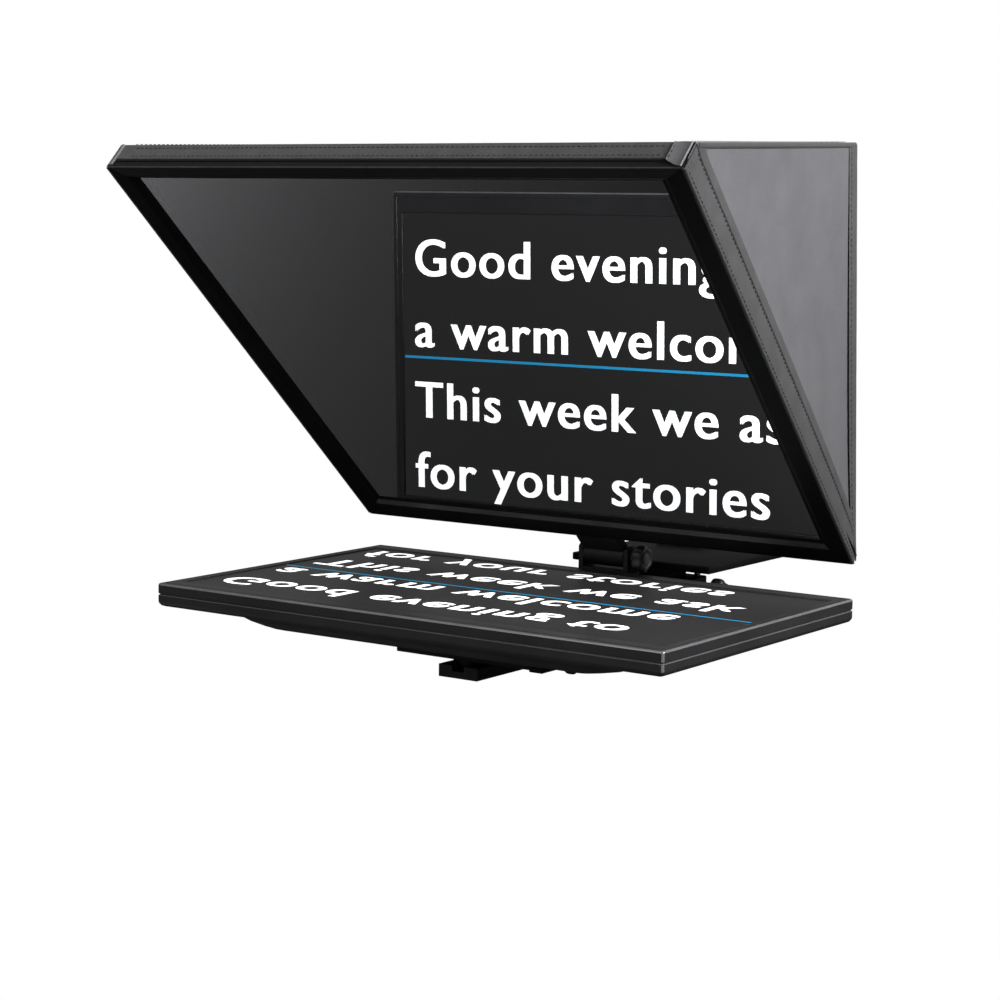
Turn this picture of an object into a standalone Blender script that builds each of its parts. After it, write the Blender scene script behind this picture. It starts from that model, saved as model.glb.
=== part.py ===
"""Broadcast teleprompter: a flat monitor lies face up under a beam-splitter glass that leans at 44 degrees.
A hood closes the space behind the glass and leaves a round opening for the camera lens.
Everything stands on one flat rail, which a light stand or tripod carries from below.

Metres, +Z up. +Y runs from the presenter to the camera, +X to the presenter's right.
The origin is the middle of the stand plate's underside.
"""

import math

import bmesh
import bpy
from mathutils import Vector

# ---- driving dimensions ----
GAP = 0.0003                      # clearance kept between neighbouring pieces

MONITOR_WIDTH = 0.510
MONITOR_DEPTH = 0.315
MONITOR_FRONT_Y = -0.470
MONITOR_TOP_Z = 0.082
BEZEL_THICKNESS = 0.0092
CASE_THICKNESS = 0.0205
SCREEN_WIDTH = 0.487
SCREEN_DEPTH = 0.274
BULGE_DROP = 0.0155
BULGE_HALF_WIDTH = 0.205

GLASS_TILT = math.radians(44)
GLASS_FOOT = (-0.1656, 0.1122)    # Y and Z of the frame's lowest front edge
FRAME_SLANT = 0.4684
FRAME_FOOT_HALF = 0.2581
FRAME_HEAD_HALF = 0.2807
FRAME_THICKNESS = 0.010
SIDE_RAIL_FACE = 0.024
HEAD_RAIL_FACE = 0.0161
FOOT_RAIL_FACE = 0.026
GLASS_FRONT = 0.004
GLASS_THICKNESS = 0.003
BEAD_WIDTH = 0.006

HOOD_THICKNESS = 0.003
HOOD_BAND_BACK = 0.0262           # how far the hood's rim stands behind the frame's face
HOOD_REAR_Y = -0.144
HOOD_REAR_TOP_Z = 0.467
HOOD_REAR_FOOT_Z = 0.1135
HOOD_REAR_HEAD_HALF = 0.2380
HOOD_REAR_FOOT_HALF = 0.2490
HOOD_REAR_LIP = 0.0045
LENS_Z = 0.250
LENS_OPENING_R = 0.070
SLEEVE_END_R = 0.056
SLEEVE_LENGTH = 0.045

HINGE_Y = -0.144
HINGE_Z = 0.094
HINGE_R = 0.0095
HINGE_PIN_R = 0.0035
TONGUE_HALF = 0.0215
POST_HALF = 0.0265
POST_FRONT_Y = -0.1525
POST_BACK_Y = -0.131

RAIL_HALF = 0.020
RAIL_BOTTOM_Z = 0.015
RAIL_TOP_Z = 0.026
RAIL_FRONT_Y = -0.374
RAIL_BACK_Y = 0.075
SLOT_HALF = 0.006
SLOT_DEPTH = 0.005

VESA_PITCH = 0.100
VESA_Y = -0.301
CARRIAGE_BOTTOM_Z = 0.0295
CARRIAGE_PLATE_THICKNESS = 0.005
CARRIAGE_PLATE_SIDE = 0.140

PLATFORM_BOTTOM_Z = 0.082
PLATFORM_THICKNESS = 0.007
PLATFORM_FRONT_Y = -0.118
PLATFORM_BACK_Y = 0.060
PLATFORM_LEFT = 0.056
PLATFORM_RIGHT = 0.092
CAMERA_SCREW_Y = 0.022

COLOURS = {                       # base colour, roughness, metallic
    "black_aluminium": ((0.020, 0.020, 0.021), 0.42, 0.9),
    "case_plastic": ((0.022, 0.022, 0.023), 0.48, 0.0),
    "hood_leather": ((0.055, 0.055, 0.058), 0.62, 0.0),
    "beam_glass": ((0.42, 0.43, 0.44), 0.03, 0.0),
    "screen": ((0.018, 0.018, 0.018), 0.12, 0.0),
    "knob_plastic": ((0.018, 0.018, 0.018), 0.55, 0.0),
    "steel": ((0.50, 0.50, 0.51), 0.28, 1.0),
    "socket_plastic": ((0.03, 0.03, 0.032), 0.35, 0.0),
}


# ---- helpers ----
def clear_scene():
    for thing in list(bpy.data.objects):
        bpy.data.objects.remove(thing)


def material(slot):
    found = bpy.data.materials.get(slot)
    if found:
        return found
    colour, roughness, metallic = COLOURS[slot]
    made = bpy.data.materials.new(slot)
    made.use_nodes = True
    shader = made.node_tree.nodes["Principled BSDF"]
    shader.inputs["Base Color"].default_value = (*colour, 1)
    shader.inputs["Roughness"].default_value = roughness
    shader.inputs["Metallic"].default_value = metallic
    return made


def add_object(name, bm, slot=None):
    bmesh.ops.recalc_face_normals(bm, faces=bm.faces)
    mesh = bpy.data.meshes.new(name)
    bm.to_mesh(mesh)
    bm.free()
    thing = bpy.data.objects.new(name, mesh)
    bpy.context.scene.collection.objects.link(thing)
    if slot:
        mesh.materials.append(material(slot))
    return thing


def loft(name, near, far, slot=None):
    """A closed solid between two outlines with the same number of corners."""
    bm = bmesh.new()
    first = [bm.verts.new(p) for p in near]
    last = [bm.verts.new(p) for p in far]
    count = len(first)
    for i in range(count):
        j = (i + 1) % count
        bm.faces.new((first[i], first[j], last[j], last[i]))
    caps = [bm.faces.new(first), bm.faces.new(list(reversed(last)))]
    bm.normal_update()
    bmesh.ops.triangulate(bm, faces=caps)
    return add_object(name, bm, slot)


def box(name, low, high, slot=None):
    (x0, y0, z0), (x1, y1, z1) = low, high
    outline = [(x0, y0), (x1, y0), (x1, y1), (x0, y1)]
    return loft(name, [(x, y, z0) for x, y in outline], [(x, y, z1) for x, y in outline], slot)


def prism_x(name, outline, x0, x1, slot=None):
    """An outline of (Y, Z) corners, carried along X."""
    return loft(name, [(x0, y, z) for y, z in outline], [(x1, y, z) for y, z in outline], slot)


def prism_y(name, outline, y0, y1, slot=None):
    """An outline of (X, Z) corners, carried along Y."""
    return loft(name, [(x, y0, z) for x, z in outline], [(x, y1, z) for x, z in outline], slot)


def ring_points(centre, axis, radius_at, count, along=0.0):
    """Points around an axis; radius_at gives the radius for each angle."""
    axis = Vector(axis).normalized()
    side = Vector((0, 0, 1)) if abs(axis.z) < 0.9 else Vector((1, 0, 0))
    other = axis.cross(side)
    points = []
    for i in range(count):
        angle = 2 * math.pi * i / count
        spoke = side * math.cos(angle) + other * math.sin(angle)
        points.append(Vector(centre) + axis * along + spoke * radius_at(angle))
    return points


def turned(name, centre, axis, profile, slot=None, count=24, lobes=0, lobe_depth=0.0):
    """A solid turned about an axis from (distance along, radius) pairs; lobes give a hand knob its grip."""
    bm = bmesh.new()
    rings = []
    for along, radius, lobed in profile:
        depth = lobe_depth if lobed else 0.0
        rings.append([bm.verts.new(p) for p in ring_points(
            centre, axis, lambda a, r=radius, d=depth: r - d * (0.5 - 0.5 * math.cos(lobes * a)),
            count, along)])
    for lower, upper in zip(rings, rings[1:]):
        for i in range(count):
            j = (i + 1) % count
            bm.faces.new((lower[i], lower[j], upper[j], upper[i]))
    bm.faces.new(list(reversed(rings[0])))
    bm.faces.new(rings[-1])
    return add_object(name, bm, slot)


def knob(name, face, axis, stem_radius, stem_length, radius, thickness, slot="knob_plastic"):
    """A lobed hand knob with its stem; face is where the stem starts."""
    edge = 0.0015
    profile = [(0.0, stem_radius, False), (stem_length, stem_radius, False),
               (stem_length, radius - edge, True), (stem_length + edge, radius, True),
               (stem_length + thickness - edge, radius, True),
               (stem_length + thickness, radius - edge, True)]
    return turned(name, face, axis, profile, slot, count=36, lobes=6, lobe_depth=radius * 0.16)


def cut(target, cutter):
    """Takes the cutter's shape out of the target, and keeps the cutter only as a hidden guide."""
    cutter.hide_render = True
    cutter.display_type = "WIRE"
    cutting = target.modifiers.new("cut_" + cutter.name, "BOOLEAN")
    cutting.operation = "DIFFERENCE"
    cutting.solver = "EXACT"
    cutting.object = cutter


def soften(target, width=0.001):
    """A narrow chamfer on the sharp edges."""
    edge = target.modifiers.new("edges", "BEVEL")
    edge.width = width
    edge.segments = 1
    edge.limit_method = "ANGLE"
    edge.angle_limit = math.radians(40)


def tilted(x, up, back):
    """The point at x, up the glass frame's slope and back from its front face."""
    y = GLASS_FOOT[0] - up * math.cos(GLASS_TILT) + back * math.sin(GLASS_TILT)
    z = GLASS_FOOT[1] + up * math.sin(GLASS_TILT) + back * math.cos(GLASS_TILT)
    return Vector((x, y, z))


def frame_outline():
    """The frame's outer corners in its own plane, clockwise from the lower left."""
    return [Vector((-FRAME_FOOT_HALF, 0)), Vector((-FRAME_HEAD_HALF, FRAME_SLANT)),
            Vector((FRAME_HEAD_HALF, FRAME_SLANT)), Vector((FRAME_FOOT_HALF, 0))]


def inset(corners, widths):
    """Corners moved in from the sides; side k runs from corner k to corner k + 1."""
    count = len(corners)
    lines = []
    for k in range(count):
        a, b = corners[k], corners[(k + 1) % count]
        along = (b - a).normalized()
        inward = Vector((along.y, -along.x))
        lines.append((a + inward * widths[k], along))
    moved = []
    for k in range(count):
        (p, u), (q, v) = lines[k - 1], lines[k]
        across = u.x * v.y - u.y * v.x
        t = ((q.x - p.x) * v.y - (q.y - p.y) * v.x) / across
        moved.append(p + u * t)
    return moved


# ---- glass frame ----
RAIL_FACES = (SIDE_RAIL_FACE, HEAD_RAIL_FACE, SIDE_RAIL_FACE, FOOT_RAIL_FACE)
SIDES = ("left", "top", "right", "bottom")


def mitred_ring(prefix, outer, inner, front, back, slot):
    """Four strips with mitred ends between two outlines in the frame's plane."""
    for k, side in enumerate(SIDES):
        j = (k + 1) % 4
        along = (outer[j] - outer[k]).normalized() * GAP
        face = [outer[k] + along, outer[j] - along, inner[j] - along, inner[k] + along]
        loft(prefix + side, [tilted(p.x, p.y, front) for p in face],
             [tilted(p.x, p.y, back) for p in face], slot)


def glass_frame():
    outer = frame_outline()
    opening = inset(outer, RAIL_FACES)
    mitred_ring("frame_rail_", outer, opening, 0.0, FRAME_THICKNESS, "black_aluminium")
    pane = inset(opening, (GAP,) * 4)
    loft("beam_splitter_glass", [tilted(p.x, p.y, GLASS_FRONT) for p in pane],
         [tilted(p.x, p.y, GLASS_FRONT + GLASS_THICKNESS) for p in pane], "beam_glass")
    mitred_ring("glass_bead_", pane, inset(opening, (BEAD_WIDTH,) * 4),
                GLASS_FRONT + GLASS_THICKNESS + GAP, FRAME_THICKNESS, "black_aluminium")


def corner_plates():
    """L-shaped plates that join the mitred rails from behind."""
    arm = 0.050
    front = FRAME_THICKNESS + GAP
    back = front + 0.0015
    outer = inset(frame_outline(), (0.005,) * 4)
    opening = inset(frame_outline(), tuple(w - 0.001 for w in RAIL_FACES))
    names = ("lower_left", "upper_left", "upper_right", "lower_right")
    for k, name in enumerate(names):
        before = (outer[k - 1] - outer[k]).normalized() * arm
        after = (outer[(k + 1) % 4] - outer[k]).normalized() * arm
        ell = [outer[k], outer[k] + after, opening[k] + after * 0.6, opening[k],
               opening[k] + before * 0.6, outer[k] + before]
        loft("corner_plate_" + name, [tilted(p.x, p.y, front) for p in ell],
             [tilted(p.x, p.y, back) for p in ell], "black_aluminium")


def hinge_tongue():
    """The tongue under the frame's bottom rail, round about the hinge pin."""
    dy = HINGE_Y - GLASS_FOOT[0]
    dz = HINGE_Z - GLASS_FOOT[1]
    back = dy * math.sin(GLASS_TILT) + dz * math.cos(GLASS_TILT)
    up = -dy * math.cos(GLASS_TILT) + dz * math.sin(GLASS_TILT)
    near, far = 0.0005, FRAME_THICKNESS - 0.0005
    start = math.acos((far - back) / HINGE_R)
    end = math.acos((near - back) / HINGE_R) - 2 * math.pi
    steps = 18
    outline = [(near, -GAP), (far, -GAP)]
    for i in range(steps + 1):
        angle = start + (end - start) * i / steps
        outline.append((back + HINGE_R * math.cos(angle), up + HINGE_R * math.sin(angle)))
    tongue = loft("hinge_tongue", [tilted(-TONGUE_HALF, s, n) for n, s in outline],
                  [tilted(TONGUE_HALF, s, n) for n, s in outline], "black_aluminium")
    bore = turned("tongue_bore", (-0.03, HINGE_Y, HINGE_Z), (1, 0, 0),
                  [(0, HINGE_PIN_R + GAP, False), (0.06, HINGE_PIN_R + GAP, False)], count=20)
    cut(tongue, bore)


# ---- hood ----
def hood_corners():
    """The side panel's outer corners as (Y, Z, half width)."""
    behind_frame = FRAME_THICKNESS + 2 * GAP
    foot = tilted(0, 0, behind_frame)
    head = tilted(0, FRAME_SLANT, behind_frame)
    rim = tilted(0, FRAME_SLANT, HOOD_BAND_BACK)
    return [(foot.y, foot.z, FRAME_FOOT_HALF), (head.y, head.z, FRAME_HEAD_HALF),
            (rim.y, rim.z, FRAME_HEAD_HALF), (HOOD_REAR_Y, HOOD_REAR_TOP_Z, HOOD_REAR_HEAD_HALF),
            (HOOD_REAR_Y, HOOD_REAR_FOOT_Z, HOOD_REAR_FOOT_HALF)]


def hood_side(name, sign):
    """A side panel, folded slightly from the glass frame's foot to its own rear top corner."""
    corners = hood_corners()
    bm = bmesh.new()
    outer = [bm.verts.new((sign * h, y, z)) for y, z, h in corners]
    inner = [bm.verts.new((sign * (h - HOOD_THICKNESS), y, z)) for y, z, h in corners]
    count = len(corners)
    for i in range(count):
        j = (i + 1) % count
        bm.faces.new((outer[i], outer[j], inner[j], inner[i]))
    for i in range(1, count - 1):
        bm.faces.new((outer[0], outer[i + 1], outer[i]))
        bm.faces.new((inner[0], inner[i], inner[i + 1]))
    add_object(name, bm, "hood_leather")


def hood_top():
    """The rim strip above the glass and the roof behind it, in one bent sheet."""
    (head_y, head_z, head_h), (rim_y, rim_z, rim_h), (rear_y, rear_z, rear_h) = hood_corners()[1:4]
    clear = HOOD_THICKNESS + GAP
    inward = tilted(0, -HOOD_THICKNESS, 0) - tilted(0, 0, 0)
    rise = HOOD_THICKNESS
    section = [(head_y, head_z, head_h), (rim_y, rim_z, rim_h), (rear_y, rear_z, rear_h),
               (rear_y, rear_z - rise, rear_h),
               (rim_y + inward.y, rim_z - rise, rim_h),
               (head_y + inward.y, head_z + inward.z, head_h)]
    loft("hood_top_panel", [(-(h - clear), y, z) for y, z, h in section],
         [(h - clear, y, z) for y, z, h in section], "hood_leather")


def hood_rear():
    """The upright rear panel with its round lens opening and a short return along the bottom."""
    clear = HOOD_THICKNESS + GAP
    foot = HOOD_REAR_FOOT_HALF - clear
    head = HOOD_REAR_HEAD_HALF - clear
    top = HOOD_REAR_TOP_Z - HOOD_THICKNESS - GAP
    inner_y = HOOD_REAR_Y - HOOD_THICKNESS
    lip_y = inner_y - HOOD_REAR_LIP
    lip_z = HOOD_REAR_FOOT_Z + HOOD_THICKNESS
    share = (lip_z - HOOD_REAR_FOOT_Z) / (top - HOOD_REAR_FOOT_Z)
    lip_half = foot + (head - foot) * share
    section = [(HOOD_REAR_Y, HOOD_REAR_FOOT_Z, foot), (HOOD_REAR_Y, top, head),
               (inner_y, top, head), (inner_y, lip_z, lip_half),
               (lip_y, lip_z, lip_half), (lip_y, HOOD_REAR_FOOT_Z, foot)]
    panel = loft("hood_rear_panel", [(-h, y, z) for y, z, h in section],
                 [(h, y, z) for y, z, h in section], "hood_leather")
    hole = turned("lens_hole", (0, HOOD_REAR_Y - 0.02, LENS_Z), (0, 1, 0),
                  [(0, LENS_OPENING_R, False), (0.04, LENS_OPENING_R, False)], count=32)
    cut(panel, hole)


def lens_sleeve():
    """A tapered cuff that closes round the camera's lens, open at both ends."""
    wall = 0.0025
    start = HOOD_REAR_Y + GAP
    flange = LENS_OPENING_R + 0.008
    count = 32
    profile = [(0.0, LENS_OPENING_R), (SLEEVE_LENGTH, SLEEVE_END_R), (SLEEVE_LENGTH, SLEEVE_END_R + wall),
               (wall, LENS_OPENING_R + wall), (wall, flange), (0.0, flange)]
    bm = bmesh.new()
    rings = [[bm.verts.new(p) for p in ring_points((0, start, LENS_Z), (0, 1, 0), lambda a, r=r: r,
                                                   count, along)] for along, r in profile]
    for k, ring in enumerate(rings):
        following = rings[(k + 1) % len(rings)]
        for i in range(count):
            j = (i + 1) % count
            bm.faces.new((ring[i], ring[j], following[j], following[i]))
    add_object("lens_sleeve", bm, "hood_leather")


# ---- monitor ----
def monitor_case():
    """The rear cover: a thin slab with a tapered bulge underneath for the electronics."""
    half = MONITOR_WIDTH / 2
    front, back = MONITOR_FRONT_Y, MONITOR_FRONT_Y + MONITOR_DEPTH
    seam = MONITOR_TOP_Z - BEZEL_THICKNESS - GAP
    base = MONITOR_TOP_Z - CASE_THICKNESS
    rim = 0.004
    bulge_front, bulge_back = front + 0.028, back - 0.057
    levels = [
        (seam, half, front, back),
        (base + rim, half, front, back),
        (base, half - rim, front + rim, back - rim),
        (base, BULGE_HALF_WIDTH, bulge_front, bulge_back),
        (base - BULGE_DROP, BULGE_HALF_WIDTH - 0.018, bulge_front + 0.012, bulge_back),
    ]
    bm = bmesh.new()
    rings = []
    for z, h, y0, y1 in levels:
        rings.append([bm.verts.new(p) for p in ((-h, y0, z), (h, y0, z), (h, y1, z), (-h, y1, z))])
    for upper, lower in zip(rings, rings[1:]):
        for i in range(4):
            j = (i + 1) % 4
            bm.faces.new((upper[i], lower[i], lower[j], upper[j]))
    bm.faces.new(list(reversed(rings[0])))
    bm.faces.new(rings[-1])
    case = add_object("monitor_rear_cover", bm, "case_plastic")
    for k in range(len(BUTTONS)):
        y, z = button_place(k)
        reach_y, reach_z = BUTTON_LENGTH / 2 + GAP, BUTTON_HEIGHT / 2 + GAP
        cut(case, box(f"button_pocket_{k}", (-half - 0.01, y - reach_y, z - reach_z),
                      (-half + BUTTON_POCKET, y + reach_y, z + reach_z)))


BUTTONS = ("power_button", "menu_button", "plus_button", "minus_button", "input_button")
BUTTON_LENGTH = 0.009
BUTTON_HEIGHT = 0.004
BUTTON_POCKET = 0.004
BUTTON_STANDS = 0.001
BUTTON_PITCH = 0.016
BUTTON_FIRST_Y = -0.400


def button_place(index):
    """Y and Z of a button's middle on the monitor's left edge."""
    return BUTTON_FIRST_Y + index * BUTTON_PITCH, MONITOR_TOP_Z - BEZEL_THICKNESS - 0.0043


def monitor_buttons():
    half = MONITOR_WIDTH / 2
    for k, name in enumerate(BUTTONS):
        y, z = button_place(k)
        box(name, (-half - BUTTON_STANDS, y - BUTTON_LENGTH / 2, z - BUTTON_HEIGHT / 2),
            (-half + BUTTON_POCKET - 0.0015, y + BUTTON_LENGTH / 2, z + BUTTON_HEIGHT / 2), "knob_plastic")


def screen_edges():
    side = SCREEN_WIDTH / 2
    middle = MONITOR_FRONT_Y + MONITOR_DEPTH / 2
    return side, middle - SCREEN_DEPTH / 2, middle + SCREEN_DEPTH / 2


def monitor_front():
    """The bezel round the screen, and the screen panel set a little below it."""
    half = MONITOR_WIDTH / 2
    front, back = MONITOR_FRONT_Y, MONITOR_FRONT_Y + MONITOR_DEPTH
    low = MONITOR_TOP_Z - BEZEL_THICKNESS
    side, near, far = screen_edges()
    bezel = box("monitor_front_bezel", (-half, front, low), (half, back, MONITOR_TOP_Z), "case_plastic")
    soften(bezel, 0.0015)
    cut(bezel, box("screen_cut", (-side, near, low - 0.01), (side, far, MONITOR_TOP_Z + 0.01)))
    box("screen_panel", (-side + GAP, near + GAP, low), (side - GAP, far - GAP, MONITOR_TOP_Z - 0.0012),
        "screen")


def connector_panel():
    """The strip of sockets at the back of the bulge, each socket in its own recess."""
    bulge_back = MONITOR_FRONT_Y + MONITOR_DEPTH - 0.057
    low = MONITOR_TOP_Z - CASE_THICKNESS - BULGE_DROP + 0.0015
    high = MONITOR_TOP_Z - CASE_THICKNESS - GAP
    front, back = bulge_back + GAP, bulge_back + 0.0085
    panel = box("connector_panel", (-0.080, front, low), (0.080, back, high), "case_plastic")
    middle = (low + high) / 2
    for name, x, width, height in (("video_socket", -0.050, 0.015, 0.0055),
                                   ("display_socket", -0.008, 0.030, 0.0085),
                                   ("power_socket", 0.048, 0.011, 0.0100)):
        cut(panel, box(name + "_recess", (x - width / 2 - GAP, front + 0.002, middle - height / 2 - GAP),
                       (x + width / 2 + GAP, back + 0.01, middle + height / 2 + GAP)))
        socket = box(name, (x - width / 2, front + 0.002 + GAP, middle - height / 2),
                     (x + width / 2, back - 0.0004, middle + height / 2), "socket_plastic")
        half_x, half_z = width / 2 - 0.0012, height / 2 - 0.0012
        cut(socket, box(name + "_mouth", (x - half_x, front + 0.0045, middle - half_z),
                        (x + half_x, back + 0.01, middle + half_z)))


def monitor_mounting():
    """The plate, standoffs and screws that hold the monitor, and the block that slides on the rail."""
    reach = CARRIAGE_PLATE_SIDE / 2
    low = CARRIAGE_BOTTOM_Z
    high = low + CARRIAGE_PLATE_THICKNESS
    plate = box("vesa_plate", (-reach, VESA_Y - reach, low), (reach, VESA_Y + reach, high), "black_aluminium")
    soften(plate)
    case_bottom = MONITOR_TOP_Z - CASE_THICKNESS - BULGE_DROP
    places = [(sx * VESA_PITCH / 2, VESA_Y + sy * VESA_PITCH / 2) for sy in (-1, 1) for sx in (-1, 1)]
    for k, (x, y) in enumerate(places):
        turned(f"standoff_{k + 1}", (x, y, high + GAP), (0, 0, 1),
               [(0, 0.006, False), (case_bottom - high - 2 * GAP, 0.006, False)], "steel", count=12)
        turned(f"vesa_screw_{k + 1}", (x, y, low - GAP), (0, 0, -1),
               [(0, 0.0045, False), (0.0012, 0.0042, False), (0.0024, 0.0026, False)], "steel", count=12)
    carriage_block()


CARRIAGE_FRONT_Y = -0.366
JAW_FRONT_Y = -0.290
JAW_BACK_Y = -0.238
JAW_HALF = 0.027
JAW_LIP_HALF = 0.013
JAW_BOTTOM_Z = 0.009
NECK_HALF = 0.013


def carriage_block():
    """The slider: a tongue in the rail's slot under a low neck, with jaws round the rail at its back end."""
    top = CARRIAGE_BOTTOM_Z - GAP
    tongue_half = SLOT_HALF - GAP
    tongue_z = RAIL_TOP_Z - SLOT_DEPTH + GAP
    neck_z = RAIL_TOP_Z + GAP
    tee = [(-NECK_HALF, top), (-NECK_HALF, neck_z), (-tongue_half, neck_z), (-tongue_half, tongue_z),
           (tongue_half, tongue_z), (tongue_half, neck_z), (NECK_HALF, neck_z), (NECK_HALF, top)]
    prism_y("slide_block", tee, CARRIAGE_FRONT_Y, JAW_FRONT_Y - GAP, "black_aluminium")
    side = RAIL_HALF + GAP
    under = RAIL_BOTTOM_Z - GAP
    jaws = [(-JAW_HALF, top), (-JAW_HALF, JAW_BOTTOM_Z), (-JAW_LIP_HALF, JAW_BOTTOM_Z),
            (-JAW_LIP_HALF, under), (-side, under), (-side, neck_z), (side, neck_z), (side, under),
            (JAW_LIP_HALF, under), (JAW_LIP_HALF, JAW_BOTTOM_Z), (JAW_HALF, JAW_BOTTOM_Z), (JAW_HALF, top)]
    prism_y("rail_jaws", jaws, JAW_FRONT_Y, JAW_BACK_Y, "black_aluminium")
    middle = (JAW_FRONT_Y + JAW_BACK_Y) / 2
    knob("monitor_slide_knob", (JAW_HALF + GAP, middle, 0.0175), (1, 0, 0), 0.0035, 0.006, 0.011, 0.012)


# ---- base ----
def rail_section():
    floor = RAIL_TOP_Z - SLOT_DEPTH
    return [(-RAIL_HALF, RAIL_BOTTOM_Z), (RAIL_HALF, RAIL_BOTTOM_Z), (RAIL_HALF, RAIL_TOP_Z),
            (SLOT_HALF, RAIL_TOP_Z), (SLOT_HALF, floor), (-SLOT_HALF, floor),
            (-SLOT_HALF, RAIL_TOP_Z), (-RAIL_HALF, RAIL_TOP_Z)]


def base_rail():
    """The flat rail with its slot along the top, and a cap on each end that leaves the slot open."""
    prism_y("base_rail", rail_section(), RAIL_FRONT_Y, RAIL_BACK_Y, "black_aluminium")
    cap = 0.003
    for name, y in (("rail_cap_front", RAIL_FRONT_Y - GAP - cap), ("rail_cap_rear", RAIL_BACK_Y + GAP)):
        prism_y(name, rail_section(), y, y + cap, "knob_plastic")


def stand_plate():
    """The plate that a stand's screws or a tripod head's top meets from below."""
    reach = 0.040
    corner = 0.010
    outline = [(-reach + corner, -reach), (reach - corner, -reach), (reach, -reach + corner),
               (reach, reach - corner), (reach - corner, reach), (-reach + corner, reach),
               (-reach, reach - corner), (-reach, -reach + corner)]
    high = RAIL_BOTTOM_Z - GAP
    plate = loft("stand_plate", [(x, y, 0) for x, y in outline], [(x, y, high) for x, y in outline],
                 "black_aluminium")
    for name, y, radius in (("large_thread", -0.022, 0.00476), ("small_thread", 0.022, 0.003175)):
        cut(plate, turned(name, (0, y, -0.01), (0, 0, 1), [(0, radius, False), (0.04, radius, False)],
                          count=20))


def upright():
    """The foot that straddles the rail, the post on it and the forked hinge at its head."""
    side = RAIL_HALF + GAP
    top = 0.040
    saddle = [(-0.030, top), (-0.030, 0.010), (-side, 0.010), (-side, RAIL_TOP_Z + GAP),
              (side, RAIL_TOP_Z + GAP), (side, 0.010), (0.030, 0.010), (0.030, top)]
    prism_y("upright_foot", saddle, POST_FRONT_Y, -0.112, "black_aluminium")
    post_top = 0.070
    post = box("upright_post", (-POST_HALF, POST_FRONT_Y, top + GAP), (POST_HALF, POST_BACK_Y, post_top),
               "black_aluminium")
    soften(post)
    fork_floor = HINGE_Z - HINGE_R - 0.0015
    ear = 0.0115
    steps = 12
    profile = [(POST_FRONT_Y, post_top + GAP), (POST_BACK_Y, post_top + GAP)]
    back = math.acos(min(1.0, (POST_BACK_Y - HINGE_Y) / ear))
    front = math.acos(max(-1.0, (POST_FRONT_Y - HINGE_Y) / ear))
    for i in range(steps + 1):
        angle = back + (front - back) * i / steps
        profile.append((HINGE_Y + ear * math.cos(angle), HINGE_Z + ear * math.sin(angle)))
    fork = prism_x("hinge_fork", profile, -POST_HALF, POST_HALF, "black_aluminium")
    clear = TONGUE_HALF + GAP
    cut(fork, box("fork_slot", (-clear, POST_FRONT_Y - 0.02, fork_floor), (clear, POST_BACK_Y + 0.02, 0.13)))
    cut(fork, turned("fork_bore", (-0.05, HINGE_Y, HINGE_Z), (1, 0, 0),
                     [(0, HINGE_PIN_R + GAP, False), (0.10, HINGE_PIN_R + GAP, False)], count=20))
    head = 0.002
    turned("hinge_pin", (-POST_HALF - GAP - head, HINGE_Y, HINGE_Z), (1, 0, 0),
           [(0, 0.006, False), (head, 0.006, False), (head, HINGE_PIN_R, False),
            (head + GAP + 2 * POST_HALF, HINGE_PIN_R, False)], "steel", count=20)
    knob("tilt_lock_knob", (POST_HALF + GAP, HINGE_Y, HINGE_Z), (1, 0, 0), 0.005, 0.003, 0.013, 0.012)


# ---- camera support ----
GUIDE_FRONT_Y = -0.100
GUIDE_BACK_Y = -0.030
GUIDE_HALF = 0.040
GUIDE_TOP_Z = 0.066
RISER_HALF = 0.024
RISER_WALL = 0.012


def camera_riser():
    """A guide on the rail, the post that rises out of it and the head plate the platform slides on."""
    low = RAIL_TOP_Z + GAP
    guide = box("riser_guide", (-GUIDE_HALF, GUIDE_FRONT_Y, low), (GUIDE_HALF, GUIDE_BACK_Y, GUIDE_TOP_Z),
                "black_aluminium")
    soften(guide, 0.0012)
    front, back = GUIDE_FRONT_Y + RISER_WALL, GUIDE_BACK_Y - RISER_WALL
    floor = low + 0.003
    cut(guide, box("riser_well", (-RISER_HALF - GAP, front - GAP, floor),
                   (RISER_HALF + GAP, back + GAP, 0.1)))
    head_low = PLATFORM_BOTTOM_Z - GAP - 0.008
    box("riser_post", (-RISER_HALF, front, floor + GAP), (RISER_HALF, back, head_low - GAP),
        "black_aluminium")
    head = box("riser_head", (-0.034, GUIDE_FRONT_Y + 0.002, head_low), (0.034, GUIDE_BACK_Y - 0.002,
               PLATFORM_BOTTOM_Z - GAP), "black_aluminium")
    soften(head)
    middle = (GUIDE_FRONT_Y + GUIDE_BACK_Y) / 2
    knob("riser_lock_knob", (GUIDE_HALF + GAP, middle + 0.010, 0.054), (1, 0, 0), 0.005, 0.018, 0.0145, 0.014)
    knob("platform_lock_knob", (-0.034 - GAP, middle, head_low + 0.004), (-1, 0, 0),
         0.0030, 0.0245, 0.009, 0.009)


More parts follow.
